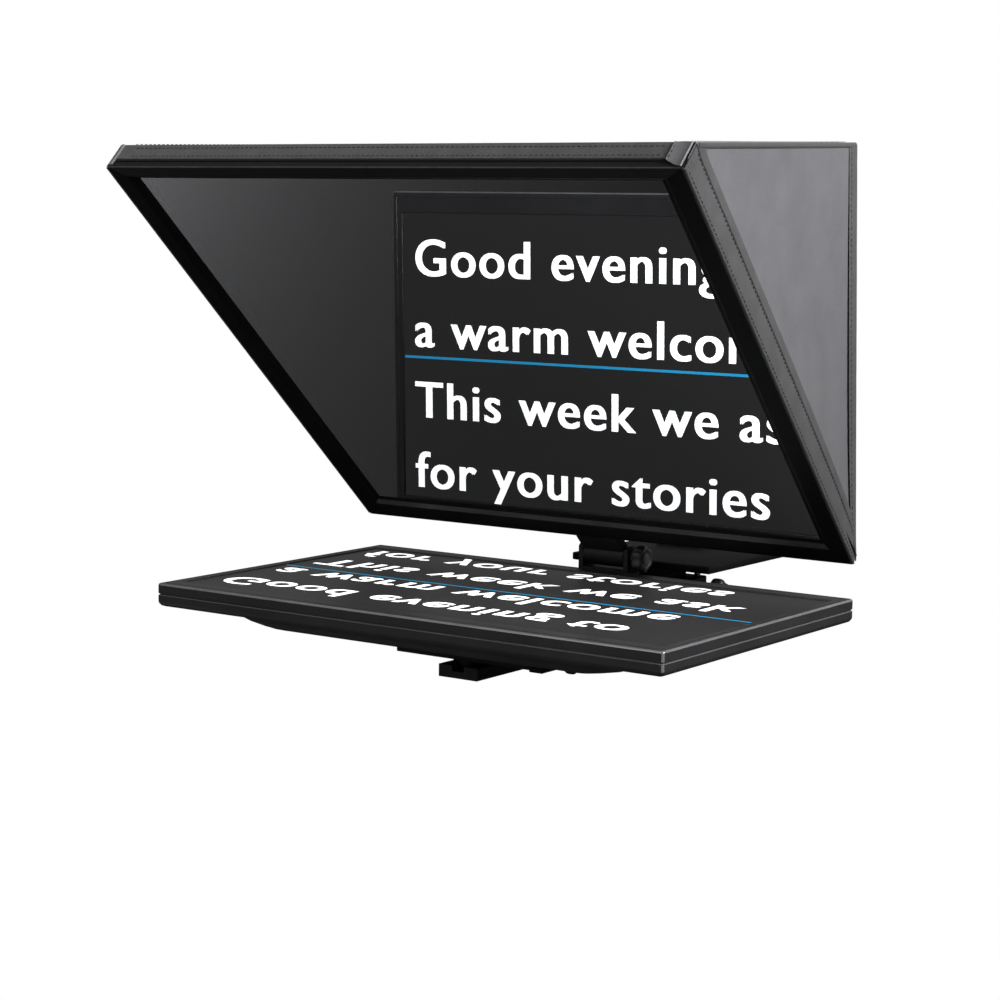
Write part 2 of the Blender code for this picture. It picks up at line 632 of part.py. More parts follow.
def camera_platform():
    """The tray for the camera, its slotted centre, the camera plate and the captive camera screw."""
    low, high = PLATFORM_BOTTOM_Z, PLATFORM_BOTTOM_Z + PLATFORM_THICKNESS
    tray = box("camera_platform", (-PLATFORM_LEFT, PLATFORM_FRONT_Y, low),
               (PLATFORM_RIGHT, PLATFORM_BACK_Y, high), "black_aluminium")
    soften(tray)
    slot_half = 0.0036
    cut(tray, box("screw_slot", (-slot_half, -0.020, low - 0.01), (slot_half, 0.046, high + 0.01)))
    plate_low, plate_high = high + GAP, high + GAP + 0.007
    plate = box("camera_plate", (-0.025, CAMERA_SCREW_Y - 0.040, plate_low), (0.025, CAMERA_SCREW_Y + 0.034,
                plate_high), "knob_plastic")
    soften(plate)
    cut(plate, turned("plate_bore", (0, CAMERA_SCREW_Y, 0), (0, 0, 1),
                      [(0, 0.0036, False), (0.2, 0.0036, False)], count=20))
    turned("camera_screw", (0, CAMERA_SCREW_Y, low - GAP - 0.009), (0, 0, 1),
           [(0, 0.0085, False), (0.0015, 0.0095, False), (0.0075, 0.0095, False), (0.009, 0.0085, False),
            (0.009, 0.0032, False), (0.0295, 0.0032, False)], "steel", count=24)


clear_scene()
glass_frame()
corner_plates()
hinge_tongue()
hood_side("hood_left_panel", -1)
hood_side("hood_right_panel", 1)
hood_top()
hood_rear()
lens_sleeve()
monitor_case()
monitor_buttons()
monitor_front()
connector_panel()
monitor_mounting()
base_rail()
stand_plate()
upright()
camera_riser()
camera_platform()
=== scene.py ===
"""Looks of the broadcast teleprompter: soft hood, glass, monitor with its script, frame and hardware.

Metres, +Z up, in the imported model's own frame: +Y runs from the presenter to the camera.
"""
import math

import bmesh
import bpy
from mathutils import Matrix, Vector, noise


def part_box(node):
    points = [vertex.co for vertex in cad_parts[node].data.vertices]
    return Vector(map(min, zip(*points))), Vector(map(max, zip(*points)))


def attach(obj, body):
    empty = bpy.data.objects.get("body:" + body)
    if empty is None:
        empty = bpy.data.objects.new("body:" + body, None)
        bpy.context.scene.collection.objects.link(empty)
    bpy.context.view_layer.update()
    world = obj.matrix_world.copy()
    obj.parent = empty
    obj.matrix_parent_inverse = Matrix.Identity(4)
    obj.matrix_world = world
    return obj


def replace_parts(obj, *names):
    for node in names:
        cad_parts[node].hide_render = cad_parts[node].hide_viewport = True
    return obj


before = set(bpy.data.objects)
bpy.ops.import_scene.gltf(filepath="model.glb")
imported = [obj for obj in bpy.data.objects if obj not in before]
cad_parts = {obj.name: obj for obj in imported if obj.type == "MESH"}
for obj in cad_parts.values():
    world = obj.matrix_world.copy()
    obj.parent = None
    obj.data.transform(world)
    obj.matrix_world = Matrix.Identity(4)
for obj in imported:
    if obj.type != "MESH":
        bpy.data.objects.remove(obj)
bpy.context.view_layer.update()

# ---- sizes that the frame doesn't give ----
LEAN = math.radians(44)           # the glass frame's angle above the floor
FRAME_THICKNESS = 0.010
GAP = 0.0003                      # clearance between neighbouring CAD pieces
SIDE_FACE, HEAD_FACE, FOOT_FACE = 0.024, 0.0161, 0.026
GLASS_FRONT, GLASS_BACK = 0.004, 0.007
HOOD_THICKNESS = 0.003
HEM = 0.0240                      # the hood's wide front binding, measured back from the frame's face
SECOND_HEM = 0.0355               # the narrow binding behind it, measured the same way
STAND_OFF = 0.0002                # how far sewn-on strips stand off the fabric
THREAD_RISE = 0.0004              # how far a stitch's middle stands off plain fabric
ROOF_BEND = 0.12                  # share of the roof's length that is the rim strip
REAR_BINDING, TOP_BINDING = 0.0185, 0.0038
FLANGE_WIDTH = 0.008              # of the lens cuff's sewn flange
STITCH_PITCH = 0.0048
STITCH_LENGTH = 0.0031
CASE_CORNER = 0.0032
CASE_CREASE = 14                  # degrees between faces that still show as an edge on the case
CAP_HEIGHT = 0.0365
FONT_CAP_SHARE = 0.729            # a capital's height as a share of the built-in font's size
LINE_PITCH = 0.0682
FIRST_BASELINE = 0.0594           # from the screen's front edge
CUE_DROP = 0.0102                 # from the second baseline to the cue line
LETTER_STRETCH = 1.09
STRIKE = 0.0020                   # how far a letter is struck again to widen its stems
GRIP_DEPTH = {"tilt_lock_knob": 0.012, "monitor_slide_knob": 0.012, "riser_lock_knob": 0.014,
              "platform_lock_knob": 0.009}
GRIP_LOBES = 6
LOBE_DEPTH = 0.16                 # a share of the knob's radius
SCRIPT = ("Good evening to", "a warm welcome", "This week we ask", "for your stories")

UP = Vector((0, -math.cos(LEAN), math.sin(LEAN)))
BACK = Vector((0, math.sin(LEAN), math.cos(LEAN)))
X = Vector((1, 0, 0))
Y = Vector((0, 1, 0))
Z = Vector((0, 0, 1))


# ---- places read from the frame ----
def far_point(node, direction):
    """The CAD node's own corner that lies farthest along a direction."""
    way = Vector(direction)
    return max((v.co.copy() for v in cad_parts[node].data.vertices), key=way.dot)


FRAME_LOW = far_point("frame_rail_right", X * 0.2 - UP - BACK * 0.3)
FRAME_HIGH = far_point("frame_rail_right", X * 0.2 + UP - BACK * 0.3)
FOOT_HALF, HEAD_HALF = FRAME_LOW.x, FRAME_HIGH.x
SLANT = (FRAME_HIGH - FRAME_LOW).dot(UP)


def on_frame(x, up, back):
    """The point at x, up the glass frame's slope and back from its front face."""
    return Vector((x, FRAME_LOW.y, FRAME_LOW.z)) + UP * up + BACK * back


def frame_half(up):
    """Half the frame's width at a height up its slope."""
    return FOOT_HALF + (HEAD_HALF - FOOT_HALF) * up / SLANT


def steps(count, low=0.0, high=1.0):
    """Numbers from low to high in equal steps, both ends included."""
    return [low + (high - low) * i / count for i in range(count + 1)]


BEHIND = FRAME_THICKNESS + 2 * GAP
HOOD_FOOT = on_frame(FOOT_HALF, 0, BEHIND)
HOOD_HEAD = on_frame(HEAD_HALF, SLANT, BEHIND)
HOOD_RIM = far_point("hood_right_panel", X * 0.1 - Y * 0.5 + Z)
HOOD_REAR_TOP = far_point("hood_right_panel", X * 0.1 + Y + Z)
HOOD_REAR_FOOT = far_point("hood_right_panel", X * 0.1 + Y - Z)
RIM_BACK = (HOOD_RIM - on_frame(HEAD_HALF, SLANT, 0)).dot(BACK)


# ---- materials ----
def add(tree, kind, **values):
    """A shader node with its settings and unlinked inputs set by name."""
    node = tree.nodes.new("ShaderNode" + kind)
    for key, value in values.items():
        if hasattr(node, key):
            setattr(node, key, value)
        else:
            node.inputs[key.replace("_", " ")].default_value = value
    return node


def spread(tree, source, low, high):
    """A number from low to high over the range that noise mostly keeps to."""
    ranged = add(tree, "MapRange")
    for name, value in (("From Min", 0.3), ("From Max", 0.7), ("To Min", low), ("To Max", high)):
        ranged.inputs[name].default_value = value
    tree.links.new(source, ranged.inputs["Value"])
    return ranged.outputs["Result"]


def principled(name, **values):
    """A material with its Principled shader's inputs set by name."""
    made = bpy.data.materials.new(name)
    made.use_nodes = True
    shader = made.node_tree.nodes["Principled BSDF"]
    for key, value in values.items():
        shader.inputs[key.replace("_", " ")].default_value = value
    return made


def surface(name, dark, light, rough, mottle, grain, height, gloss=0.5, pebbled=False, **plain):
    """A material with mottled colour, uneven gloss and a fine grain in relief.

    dark and light are the base colours, rough the lowest and highest roughness, mottle and grain
    the two textures' scales, and height the grain's depth in metres.
    """
    made = principled(name, Specular_IOR_Level=gloss, **plain)
    tree = made.node_tree
    shader = tree.nodes["Principled BSDF"]
    where = add(tree, "TexCoord").outputs["Object"]
    patches = add(tree, "TexNoise", Scale=mottle, Detail=5.0, Roughness=0.6)
    tree.links.new(where, patches.inputs["Vector"])
    ramp = add(tree, "ValToRGB")
    ramp.color_ramp.elements[0].position, ramp.color_ramp.elements[1].position = 0.3, 0.7
    ramp.color_ramp.elements[0].color, ramp.color_ramp.elements[1].color = (*dark, 1), (*light, 1)
    tree.links.new(patches.outputs["Fac"], ramp.inputs["Fac"])
    tree.links.new(ramp.outputs["Color"], shader.inputs["Base Color"])
    fine = add(tree, "TexNoise", Scale=grain, Detail=3.0)
    tree.links.new(where, fine.inputs["Vector"])
    tree.links.new(spread(tree, fine.outputs["Fac"], *rough), shader.inputs["Roughness"])
    relief = fine.outputs["Fac"]
    if pebbled:
        cells = add(tree, "TexVoronoi", Scale=grain * 0.6, feature="SMOOTH_F1")
        tree.links.new(where, cells.inputs["Vector"])
        relief = cells.outputs["Distance"]
    bump = add(tree, "Bump", Strength=1.0, Distance=height)
    tree.links.new(relief, bump.inputs["Height"])
    tree.links.new(bump.outputs["Normal"], shader.inputs["Normal"])
    return made


def grey(level, blue=1.04):
    """A grey that leans slightly to blue."""
    return level, level, level * blue


def glow(name, colour, strength):
    """A lit part of the screen."""
    return principled(name, Base_Color=(*colour, 1), Emission_Color=(*colour, 1), Emission_Strength=strength)


def mirror_pane(name, share, rough, tint):
    """Glass that mirrors a fixed share of the light and passes the rest."""
    return principled(name, Base_Color=(*tint, 1), Metallic=1.0, Roughness=rough, Alpha=share)


ALUMINIUM = surface("black_aluminium", grey(0.007), grey(0.012), (0.36, 0.50), 18, 900, 0.00002,
                    Metallic=0.20, gloss=0.20)
FRAME_BLACK = surface("frame_black", grey(0.003), grey(0.005), (0.48, 0.60), 14, 1100, 0.00002,
                      gloss=0.06)
# The top rail's face is a lighter copy of the frame's black: painted light.
HEAD_RAIL_PAINTED_LIGHT = surface("head_rail_painted_light", grey(0.008), grey(0.011), (0.44, 0.56), 14, 1100, 0.00002,
                     gloss=0.10)
# A lighter grey on the frame's outer edge and the parts' rounded edges: partly edge wear, partly a painted
# highlight.
EDGE_WEAR_AND_HIGHLIGHT = surface("edge_wear_and_highlight", grey(0.035), grey(0.060), (0.28, 0.40), 90, 900, 0.00001, Metallic=0.3)
# A lighter grey for the bottom rail's inner chamfer alone: painted light.
FOOT_CHAMFER_PAINTED_LIGHT = surface("foot_chamfer_painted_light", grey(0.028), grey(0.036), (0.30, 0.40), 40, 900, 0.00001, Metallic=0.2)
LEATHER = surface("hood_leather", grey(0.068, 1.08), grey(0.084, 1.08), (0.50, 0.64), 24, 1300, 0.00018,
                  pebbled=True, gloss=0.40, Sheen_Weight=0.10, Sheen_Roughness=0.5)
BINDING = surface("hood_binding", grey(0.030), grey(0.044), (0.50, 0.66), 60, 1500, 0.00020,
                  pebbled=True, gloss=0.40, Sheen_Weight=0.10, Sheen_Roughness=0.5)
LINING = surface("hood_lining", grey(0.004), grey(0.008), (0.85, 0.98), 20, 1600, 0.00015, gloss=0.1)
THREAD = surface("thread", grey(0.012), grey(0.030), (0.6, 0.8), 200, 2600, 0.00008)
CASE = surface("case_plastic", grey(0.016), grey(0.024), (0.34, 0.46), 16, 1500, 0.00005, gloss=0.45)
# A lighter grey on the case's chamfers, seam lip and round corners: a painted highlight.
CASE_PAINTED_HIGHLIGHT = surface("case_painted_highlight", grey(0.110), grey(0.150), (0.24, 0.34), 30, 1500, 0.00001, gloss=0.7)
SCREEN = surface("screen", grey(0.006), grey(0.007), (0.38, 0.44), 12, 1500, 0.000004,
                 gloss=0.12, Emission_Color=(1, 1, 1, 1), Emission_Strength=0.021)
KNOB = surface("knob_plastic", grey(0.007), grey(0.012), (0.42, 0.58), 60, 2000, 0.00006)
RUBBER = surface("rubber", grey(0.012), grey(0.022), (0.70, 0.88), 60, 1800, 0.00010)
STEEL = surface("steel", grey(0.32), grey(0.46), (0.22, 0.36), 90, 1400, 0.00002, Metallic=1.0)
SOCKET = surface("socket_plastic", grey(0.016), grey(0.030), (0.30, 0.44), 80, 1800, 0.00003)
PRINT = glow("script_print", (1.0, 1.0, 1.0), 1.42)
CUE = glow("cue_line", (0.012, 0.22, 0.42), 1.0)
COATING = mirror_pane("beam_coating", 0.72, 0.0, (0.94, 0.95, 0.98))
CLEAR = mirror_pane("beam_glass", 0.05, 0.7, (0.02, 0.026, 0.024))


# ---- mesh helpers ----
def linked(name, data):
    """A new object in the scene."""
    thing = bpy.data.objects.new(name, data)
    bpy.context.scene.collection.objects.link(thing)
    return thing


def evaluated(thing):
    """The mesh that an object's letters or modifiers make."""
    bpy.context.view_layer.update()
    return bpy.data.meshes.new_from_object(thing.evaluated_get(bpy.context.evaluated_depsgraph_get()))


class Shape:
    """Corners and faces gathered for one piece; each face keeps the number of its material."""

    def __init__(self):
        self.corners = []
        self.faces = []
        self.marks = []

    def ring(self, points):
        first = len(self.corners)
        self.corners.extend(Vector(p) for p in points)
        return list(range(first, len(self.corners)))

    def face(self, corners, mark=0):
        self.faces.append(tuple(corners))
        self.marks.append(mark)

    def bridge(self, a, b, mark=0, closed=True):
        count = len(a)
        for i in range(count if closed else count - 1):
            j = (i + 1) % count
            self.face((a[i], a[j], b[j], b[i]), mark)

    def tube(self, rings, marks=None, ends=True):
        """Rings of points joined in order, with both ends filled."""
        made = [self.ring(r) for r in rings]
        for k in range(len(made) - 1):
            self.bridge(made[k], made[k + 1], marks[k] if marks else 0)
        if ends:
            self.face(reversed(made[0]), marks[0] if marks else 0)
            self.face(made[-1], marks[-1] if marks else 0)

    def mark_corners(self, mark):
        """Gives the upright faces of round corners another material; the case gives them its lighter grey, a
        painted highlight.
        """
        for i, face in enumerate(self.faces):
            a, b, c = (self.corners[k] for k in face[:3])
            way = (b - a).cross(c - a).normalized()
            if abs(way.z) < 0.1 and min(abs(way.x), abs(way.y)) > 0.3:
                self.marks[i] = mark

    def mesh(self, name):
        made = bpy.data.meshes.new(name)
        made.from_pydata([tuple(c) for c in self.corners], [], self.faces)
        return made

    def piece(self, name, body, slot, *materials, angle=32):
        mesh = self.mesh(name)
        for material in materials:
            mesh.materials.append(material)
        for polygon, mark in zip(mesh.polygons, self.marks):
            polygon.material_index = mark
        return settle(name, mesh, body, angle)


def settle(name, mesh, body, angle=32):
    """Faces turned outward, smooth between creases, on its body and with its finish."""
    bm = bmesh.new()
    bm.from_mesh(mesh)
    bmesh.ops.recalc_face_normals(bm, faces=bm.faces)
    bm.to_mesh(mesh)
    bm.free()
    mesh.shade_smooth()
    mesh.set_sharp_from_angle(angle=math.radians(angle))
    thing = linked(name, mesh)
    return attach(thing, body)


def refined(node, body, material, width=0.0006, edge=None):
    """A CAD node's own shape with rounded edges that catch the light."""
    bm = bmesh.new()
    bm.from_mesh(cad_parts[node].data)
    bmesh.ops.remove_doubles(bm, verts=bm.verts, dist=1e-6)
    bmesh.ops.dissolve_limit(bm, angle_limit=math.radians(1), verts=bm.verts, edges=bm.edges)
    sharp = [e for e in bm.edges if e.is_manifold and e.calc_face_angle(0) > math.radians(40)]
    # The bevel faces take the edge material, a lighter grey that is partly edge wear and partly a painted
    # highlight.
    bmesh.ops.bevel(bm, geom=sharp, offset=width, segments=2, profile=0.5, affect="EDGES",
                    clamp_overlap=True, material=1 if edge else 0)
    mesh = bpy.data.meshes.new(node + "_body")
    bm.to_mesh(mesh)
    bm.free()
    mesh.materials.clear()
    mesh.materials.append(material)
    if edge:
        mesh.materials.append(edge)
    thing = settle(node + "_body", mesh, body, 20)
    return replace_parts(thing, node)


def around(centre, axis, radius_at, count, along=0.0):
    """Points round an axis; radius_at gives the radius for each angle."""
    axis = Vector(axis).normalized()
    side = Z if abs(axis.z) < 0.9 else X
    other = axis.cross(side)
    middle = Vector(centre) + axis * along
    angles = [2 * math.pi * i / count for i in range(count)]
    return [middle + (side * math.cos(a) + other * math.sin(a)) * radius_at(a) for a in angles]


def turn(shape, centre, axis, profile, count=32, mark=0, lobes=0, depth=0.0):
    """A turned solid from (distance along, radius, lobed) triples."""
    rings = []
    for along, radius, lobed in profile:
        def edge(angle, r=radius, dip=depth * lobed):
            return r - dip * (0.5 - 0.5 * math.cos(lobes * angle))
        rings.append(around(centre, axis, edge, count, along))
    shape.tube(rings, [mark] * (len(rings) - 1))


def bolt(shape, centre, axis, radius, height):
    """A socket-head screw: a knurled head with a hexagonal recess."""
    def hexagon(angle, size):
        return size * math.cos(math.pi / 6) / math.cos((angle % (math.pi / 3)) - math.pi / 6)
    key = radius * 0.52
    turned = [around(centre, axis, lambda a, r=radius * size: r, 24, height * rise)
              for rise, size in ((0.0, 0.96), (0.8, 1.0), (0.95, 0.96), (1.0, 0.86))]
    recess = [around(centre, axis, lambda a: hexagon(a, key), 24, d) for d in (height, height * 0.45)]
    shape.tube(turned + recess)


def ribbon(name, spine, count, height, material):
    """A strip on the hood: spine(t) gives one edge's point, the other edge's point and the way out."""
    shape = Shape()
    rings = []
    for t in steps(count):
        near, far, out = spine(t)
        across = far - near
        round_share = min(0.0012 / across.length, 0.3)
        section = [(0, 0), (0, 0.55), (round_share * 0.4, 0.88), (round_share, 1.0), (0.5, 1.12),
                   (1 - round_share, 1.0), (1 - round_share * 0.4, 0.88), (1, 0.55), (1, 0)]
        puff = noise.noise(near * 60) * 0.0001
        rings.append([near + across * a + out * (h * (height + puff)) for a, h in section])
    shape.tube(rings)
    return shape.piece(name, "glass_head", "hood_leather", material, angle=50)


class Stitching:
    """Rows of short threads on the fabric, all in one piece."""

    def __init__(self):
        self.shape = Shape()

    def row(self, points, out, radius=0.00034):
        """Threads along a run of points; out is the way off the fabric."""
        points = [Vector(p) for p in points]
        lengths = [(b - a).length for a, b in zip(points, points[1:])]
        total = sum(lengths)
        for i in range(int(total / STITCH_PITCH)):
            start = (i + 0.2) * STITCH_PITCH
            a, b = (self.place(points, lengths, d) for d in (start, start + STITCH_LENGTH))
            self.thread(a, b, out, radius)

    @staticmethod
    def place(points, lengths, distance):
        """The point at a distance along a run."""
        for (a, b), length in zip(zip(points, points[1:]), lengths):
            if distance <= length:
                return a.lerp(b, distance / length)
            distance -= length
        return points[-1].copy()

    def thread(self, a, b, out, radius):
        """One stitch, thin at both ends where it enters the fabric."""
        along = (b - a).normalized()
        side = along.cross(out).normalized()
        rings = []
        for share, size in ((0.0, 0.35), (0.2, 0.9), (0.5, 1.0), (0.8, 0.9), (1.0, 0.35)):
            centre = a.lerp(b, share) + out * radius * (size - 0.6)
            rings.append([centre + (side * math.cos(t) + out * math.sin(t)) * radius * size
                          for t in (math.pi / 3 * k for k in range(6))])
        self.shape.tube(rings)

    def piece(self, name):
        return self.shape.piece(name, "glass_head", "hood_leather", THREAD, angle=60)


def panel(name, at, columns, rows, inward, thickness=HOOD_THICKNESS, bound=0):
    """A closed thin sheet with its outer side at(u, v), a lined inner side and its first rows bound."""
    shape = Shape()
    outer = [shape.ring(at(u, v) for u in columns) for v in rows]
    inner = [shape.ring(at(u, v) + inward * thickness for u in columns) for v in rows]
    for grid, mark in ((outer, 0), (inner, 1)):
        for k, (low, high) in enumerate(zip(grid, grid[1:])):
            shape.bridge(low, high, 2 if mark == 0 and k < bound else mark, closed=False)
    for a, b in ((outer[0], inner[0]), (outer[-1], inner[-1]),
                 ([r[0] for r in outer], [r[0] for r in inner]),
                 ([r[-1] for r in outer], [r[-1] for r in inner])):
        shape.bridge(a, b, 0, closed=False)
    return shape.piece(name, "glass_head", "hood_leather", LEATHER, LINING, BINDING, angle=40)


# ---- glass frame ----
def outline(widths=(0, 0, 0, 0)):
    """The frame's corners (across, up) moved in from its left, top, right and bottom sides."""
    corners = [Vector((-FOOT_HALF, 0)), Vector((-HEAD_HALF, SLANT)),
               Vector((HEAD_HALF, SLANT)), Vector((FOOT_HALF, 0))]
    lines = []
    for k in range(4):
        along = (corners[(k + 1) % 4] - corners[k]).normalized()
        lines.append((corners[k] + Vector((along.y, -along.x)) * widths[k], along))
    moved = []
    for k in range(4):
        (p, u), (q, v) = lines[k - 1], lines[k]
        t = ((q.x - p.x) * v.y - (q.y - p.y) * v.x) / (u.x * v.y - u.y * v.x)
        moved.append(p + u * t)
    return moved


RAIL_SECTION = (                  # share of the way in from the outer edge, depth, and the face's finish: 1 is the lighter outer edge, partly edge wear and partly a painted highlight, 2 the inner chamfer, painted lighter on the bottom rail as painted light
    (0.00, 0.0096, 0), (0.00, 0.0078, 0), (0.05, 0.0076, 0), (0.05, 0.0036, 0), (0.00, 0.0034, 0),
    (0.00, 0.0011, 1), (0.013, 0.0003, 1), (0.045, 0.0, 0), (0.66, 0.0, 0), (0.675, 0.0005, 0),
    (0.70, 0.0006, 2), (0.87, 0.0027, 0), (0.885, 0.0034, 0), (0.985, 0.0036, 0), (1.0, 0.0040, 0),
    (1.0, 0.0096, 0), (0.985, 0.0100, 0), (0.015, 0.0100, 0))
OPENING = outline((SIDE_FACE, HEAD_FACE, SIDE_FACE, FOOT_FACE))


def frame_rails():
    """The four mitred rails, with a groove in the outer side and a lip round the glass."""
    outer = outline()
    for k, side in enumerate(("left", "top", "right", "bottom")):
        j = (k + 1) % 4
        along = (outer[j] - outer[k]).normalized() * GAP * 0.3
        rings = []
        for corner, shift in ((k, along), (j, -along)):
            ring = []
            for share, depth, _ in RAIL_SECTION:
                p = outer[corner].lerp(OPENING[corner], share) + shift
                ring.append(on_frame(p.x, p.y, depth))
            rings.append(ring)
        shape = Shape()
        a, b = (shape.ring(r) for r in rings)
        for i, (_, _, mark) in enumerate(RAIL_SECTION):
            n = (i + 1) % len(a)
            shape.face((a[i], a[n], b[n], b[i]), mark)
        shape.face(reversed(a))
        shape.face(b)
        # The top rail takes the lighter copy of the frame's black: painted light.
        face = HEAD_RAIL_PAINTED_LIGHT if side == "top" else FRAME_BLACK
        # The outer edge's lighter grey is partly edge wear and partly a painted highlight.
        rail = shape.piece("frame_extrusion_" + side, "glass_head", "black_aluminium", face, EDGE_WEAR_AND_HIGHLIGHT,
                           # The bottom rail's inner chamfer is painted lighter: painted light.
                           FOOT_CHAMFER_PAINTED_LIGHT if side == "bottom" else face, angle=15)
        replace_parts(rail, "frame_rail_" + side)


def glass():
    """The beam splitter, mirroring on its front face only."""
    shape = Shape()
    pane = outline(tuple(w + GAP for w in (SIDE_FACE, HEAD_FACE, SIDE_FACE, FOOT_FACE)))
    front, back = (shape.ring(on_frame(p.x, p.y, d) for p in pane) for d in (GLASS_FRONT, GLASS_BACK))
    shape.face(front, 0)
    shape.face(reversed(back), 1)
    shape.bridge(front, back, 1)
    made = shape.piece("beam_splitter", "glass_head", "beam_glass", COATING, CLEAR)
    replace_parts(made, "beam_splitter_glass")


def corner_screws():
    """Two screws in each arm of the four corner plates."""
    shape = Shape()
    corners = outline((0.013, 0.008, 0.013, 0.014))
    for k in range(4):
        for other in (k - 1, (k + 1) % 4):
            way = (corners[other] - corners[k]).normalized()
            for reach in (0.016, 0.036):
                p = corners[k] + way * reach
                bolt(shape, on_frame(p.x, p.y, FRAME_THICKNESS + 0.0018), BACK, 0.0026, 0.0008)
    shape.piece("corner_screws", "glass_head", "steel", STEEL)


# ---- hood ----
FRONT_EDGE = (HOOD_FOOT, HOOD_HEAD, HOOD_RIM, HOOD_REAR_TOP)


def side_half(y, z):
    """The side panel's distance from the middle at a place on it."""
    for low, high in zip(FRONT_EDGE, FRONT_EDGE[1:]):
        if z <= high.z or high is FRONT_EDGE[-1]:
            front = low.lerp(high, min(1.0, max(0.0, (z - low.z) / (high.z - low.z))))
            break
    rise = (z - HOOD_REAR_FOOT.z) / (HOOD_REAR_TOP.z - HOOD_REAR_FOOT.z)
    rear = HOOD_REAR_FOOT.lerp(HOOD_REAR_TOP, rise)
    depth = rear.y - front.y
    share = min(1.0, max(0.0, (y - front.y) / depth)) if depth > 1e-6 else 1.0
    return front.x + (rear.x - front.x) * share


RIM_SHARE = (HOOD_RIM.y - HOOD_HEAD.y) / (HOOD_REAR_TOP.y - HOOD_HEAD.y)


def on_side(u, v):
    """A point of the right panel: u from the glass to the rear, v from the foot to the head."""
    flat = HOOD_FOOT.lerp(HOOD_HEAD, v).lerp(HOOD_REAR_FOOT.lerp(HOOD_REAR_TOP, v), u)
    rise = HOOD_RIM - HOOD_HEAD.lerp(HOOD_REAR_TOP, RIM_SHARE)
    share = u / RIM_SHARE if u < RIM_SHARE else (1 - u) / (1 - RIM_SHARE)
    p = flat + rise * share * v
    slack = math.sin(math.pi * u) * math.sin(math.pi * v)
    ripple = noise.noise(Vector((p.y * 9, p.z * 6, 3.0))) * 0.0022 * slack
    p.x = side_half(p.y, p.z) - 0.0035 * slack + ripple
    return p


def edge_half(up, back):
    """How far out the front binding lies: over the frame's side, then over the panel."""
    p = on_frame(0, up, back)
    return frame_half(up) if back <= BEHIND else min(side_half(p.y, p.z), frame_half(up))


def mirrored(p, sign):
    return Vector((p.x * sign, p.y, p.z))


def area_of(points):
    """The area of a flat outline."""
    total = Vector((0, 0, 0))
    for a, b in zip(points[1:], points[2:]):
        total += (a - points[0]).cross(b - points[0]) / 2
    return total.length


def hem_ends(back):
    """How far up the slope a binding's edge runs without leaving the side panel."""
    behind_rear = on_frame(0, 0, back).y - (HOOD_REAR_FOOT.y - 0.0005)
    return max(0.0015, behind_rear / math.cos(LEAN)), SLANT - 0.0012 - max(0.0, back - RIM_BACK) * 1.02


def hood_sides(stitching):
    """Both side panels with their front, rear and upper bindings."""
    outline_points = [HOOD_FOOT, HOOD_HEAD, HOOD_RIM, HOOD_REAR_TOP, HOOD_REAR_FOOT]
    columns = [0, RIM_SHARE / 2, RIM_SHARE] + steps(26, RIM_SHARE, 1.0)[1:]
    for sign, side in ((1, "right"), (-1, "left")):
        out = X * sign
        # The piping is a thin strip of the lighter leather along the frame's edge: a painted highlight line.
        for name, near, far, height, finish in (("highlight_piping", 0.0002, 0.0012, 0.0015, LEATHER),
                                                ("hem", 0.0013, HEM, 0.0012, BINDING),
                                                # The seam is a low strip of the dark lining colour between hem
                                                # and welt: painted shade in the groove.
                                                ("seam", HEM + 0.0001, HEM + 0.0016, 0.0004, LINING),
                                                ("welt", HEM + 0.0017, SECOND_HEM, 0.0007, BINDING)):
            ends = [hem_ends(back) for back in (near, far)]

            def spine(t, near=near, far=far, ends=ends):
                points = []
                for back, (low, high) in zip((near, far), ends):
                    up = low + (high - low) * t
                    points.append(mirrored(on_frame(edge_half(up, back) + STAND_OFF, up, back), sign))
                return *points, out
            ribbon(f"hood_{side}_{name}", spine, 70, height, finish)
            for back in (near + 0.0022, far - 0.0018) if name == "hem" else ():
                stitching.row([mirrored(on_frame(edge_half(up, back) + height + 0.0003, up, back), sign)
                               for up in steps(40, 0.006, SLANT - 0.006)], out)
        end = SLANT - 0.0038
        stitching.row([mirrored(on_frame(edge_half(end, back) + 0.0015, end, back), sign)
                       for back in steps(6, 0.003, HEM - 0.003)], out)
        low, high = HOOD_REAR_FOOT + Z * 0.002, HOOD_REAR_TOP - Z * 0.002

        def rear_spine(t):
            b = low.lerp(high, t)
            a = Vector((0, b.y - REAR_BINDING, b.z))
            a.x = side_half(a.y, a.z)
            return mirrored(a, sign) + out * STAND_OFF, mirrored(b, sign) + out * STAND_OFF, out
        ribbon(f"hood_{side}_rear_binding", rear_spine, 60, 0.0011, BINDING)
        line = [rear_spine(t)[0].lerp(rear_spine(t)[1], 0.18) + out * 0.0013 for t in steps(30, 0.08, 1.0)]
        stitching.row(line, out)

        def top_spine(t):
            a = (HOOD_RIM + Y * 0.004).lerp(HOOD_REAR_TOP - Y * 0.001, t) - Z * 0.0006
            b = a - Z * TOP_BINDING
            b.x = side_half(b.y, b.z)
            return mirrored(a, sign) + out * STAND_OFF, mirrored(b, sign) + out * STAND_OFF, out
        ribbon(f"hood_{side}_top_binding", top_spine, 50, 0.0009, BINDING)
        stitching.row([top_spine(t)[0].lerp(top_spine(t)[1], 0.75) + out * 0.0011 for t in steps(30)], out)
        sheet = panel(f"hood_{side}_side", lambda u, v: mirrored(on_side(u, v), sign),
                      columns, steps(36), -out)
        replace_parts(sheet, f"hood_{side}_panel")
        area_of(outline_points)


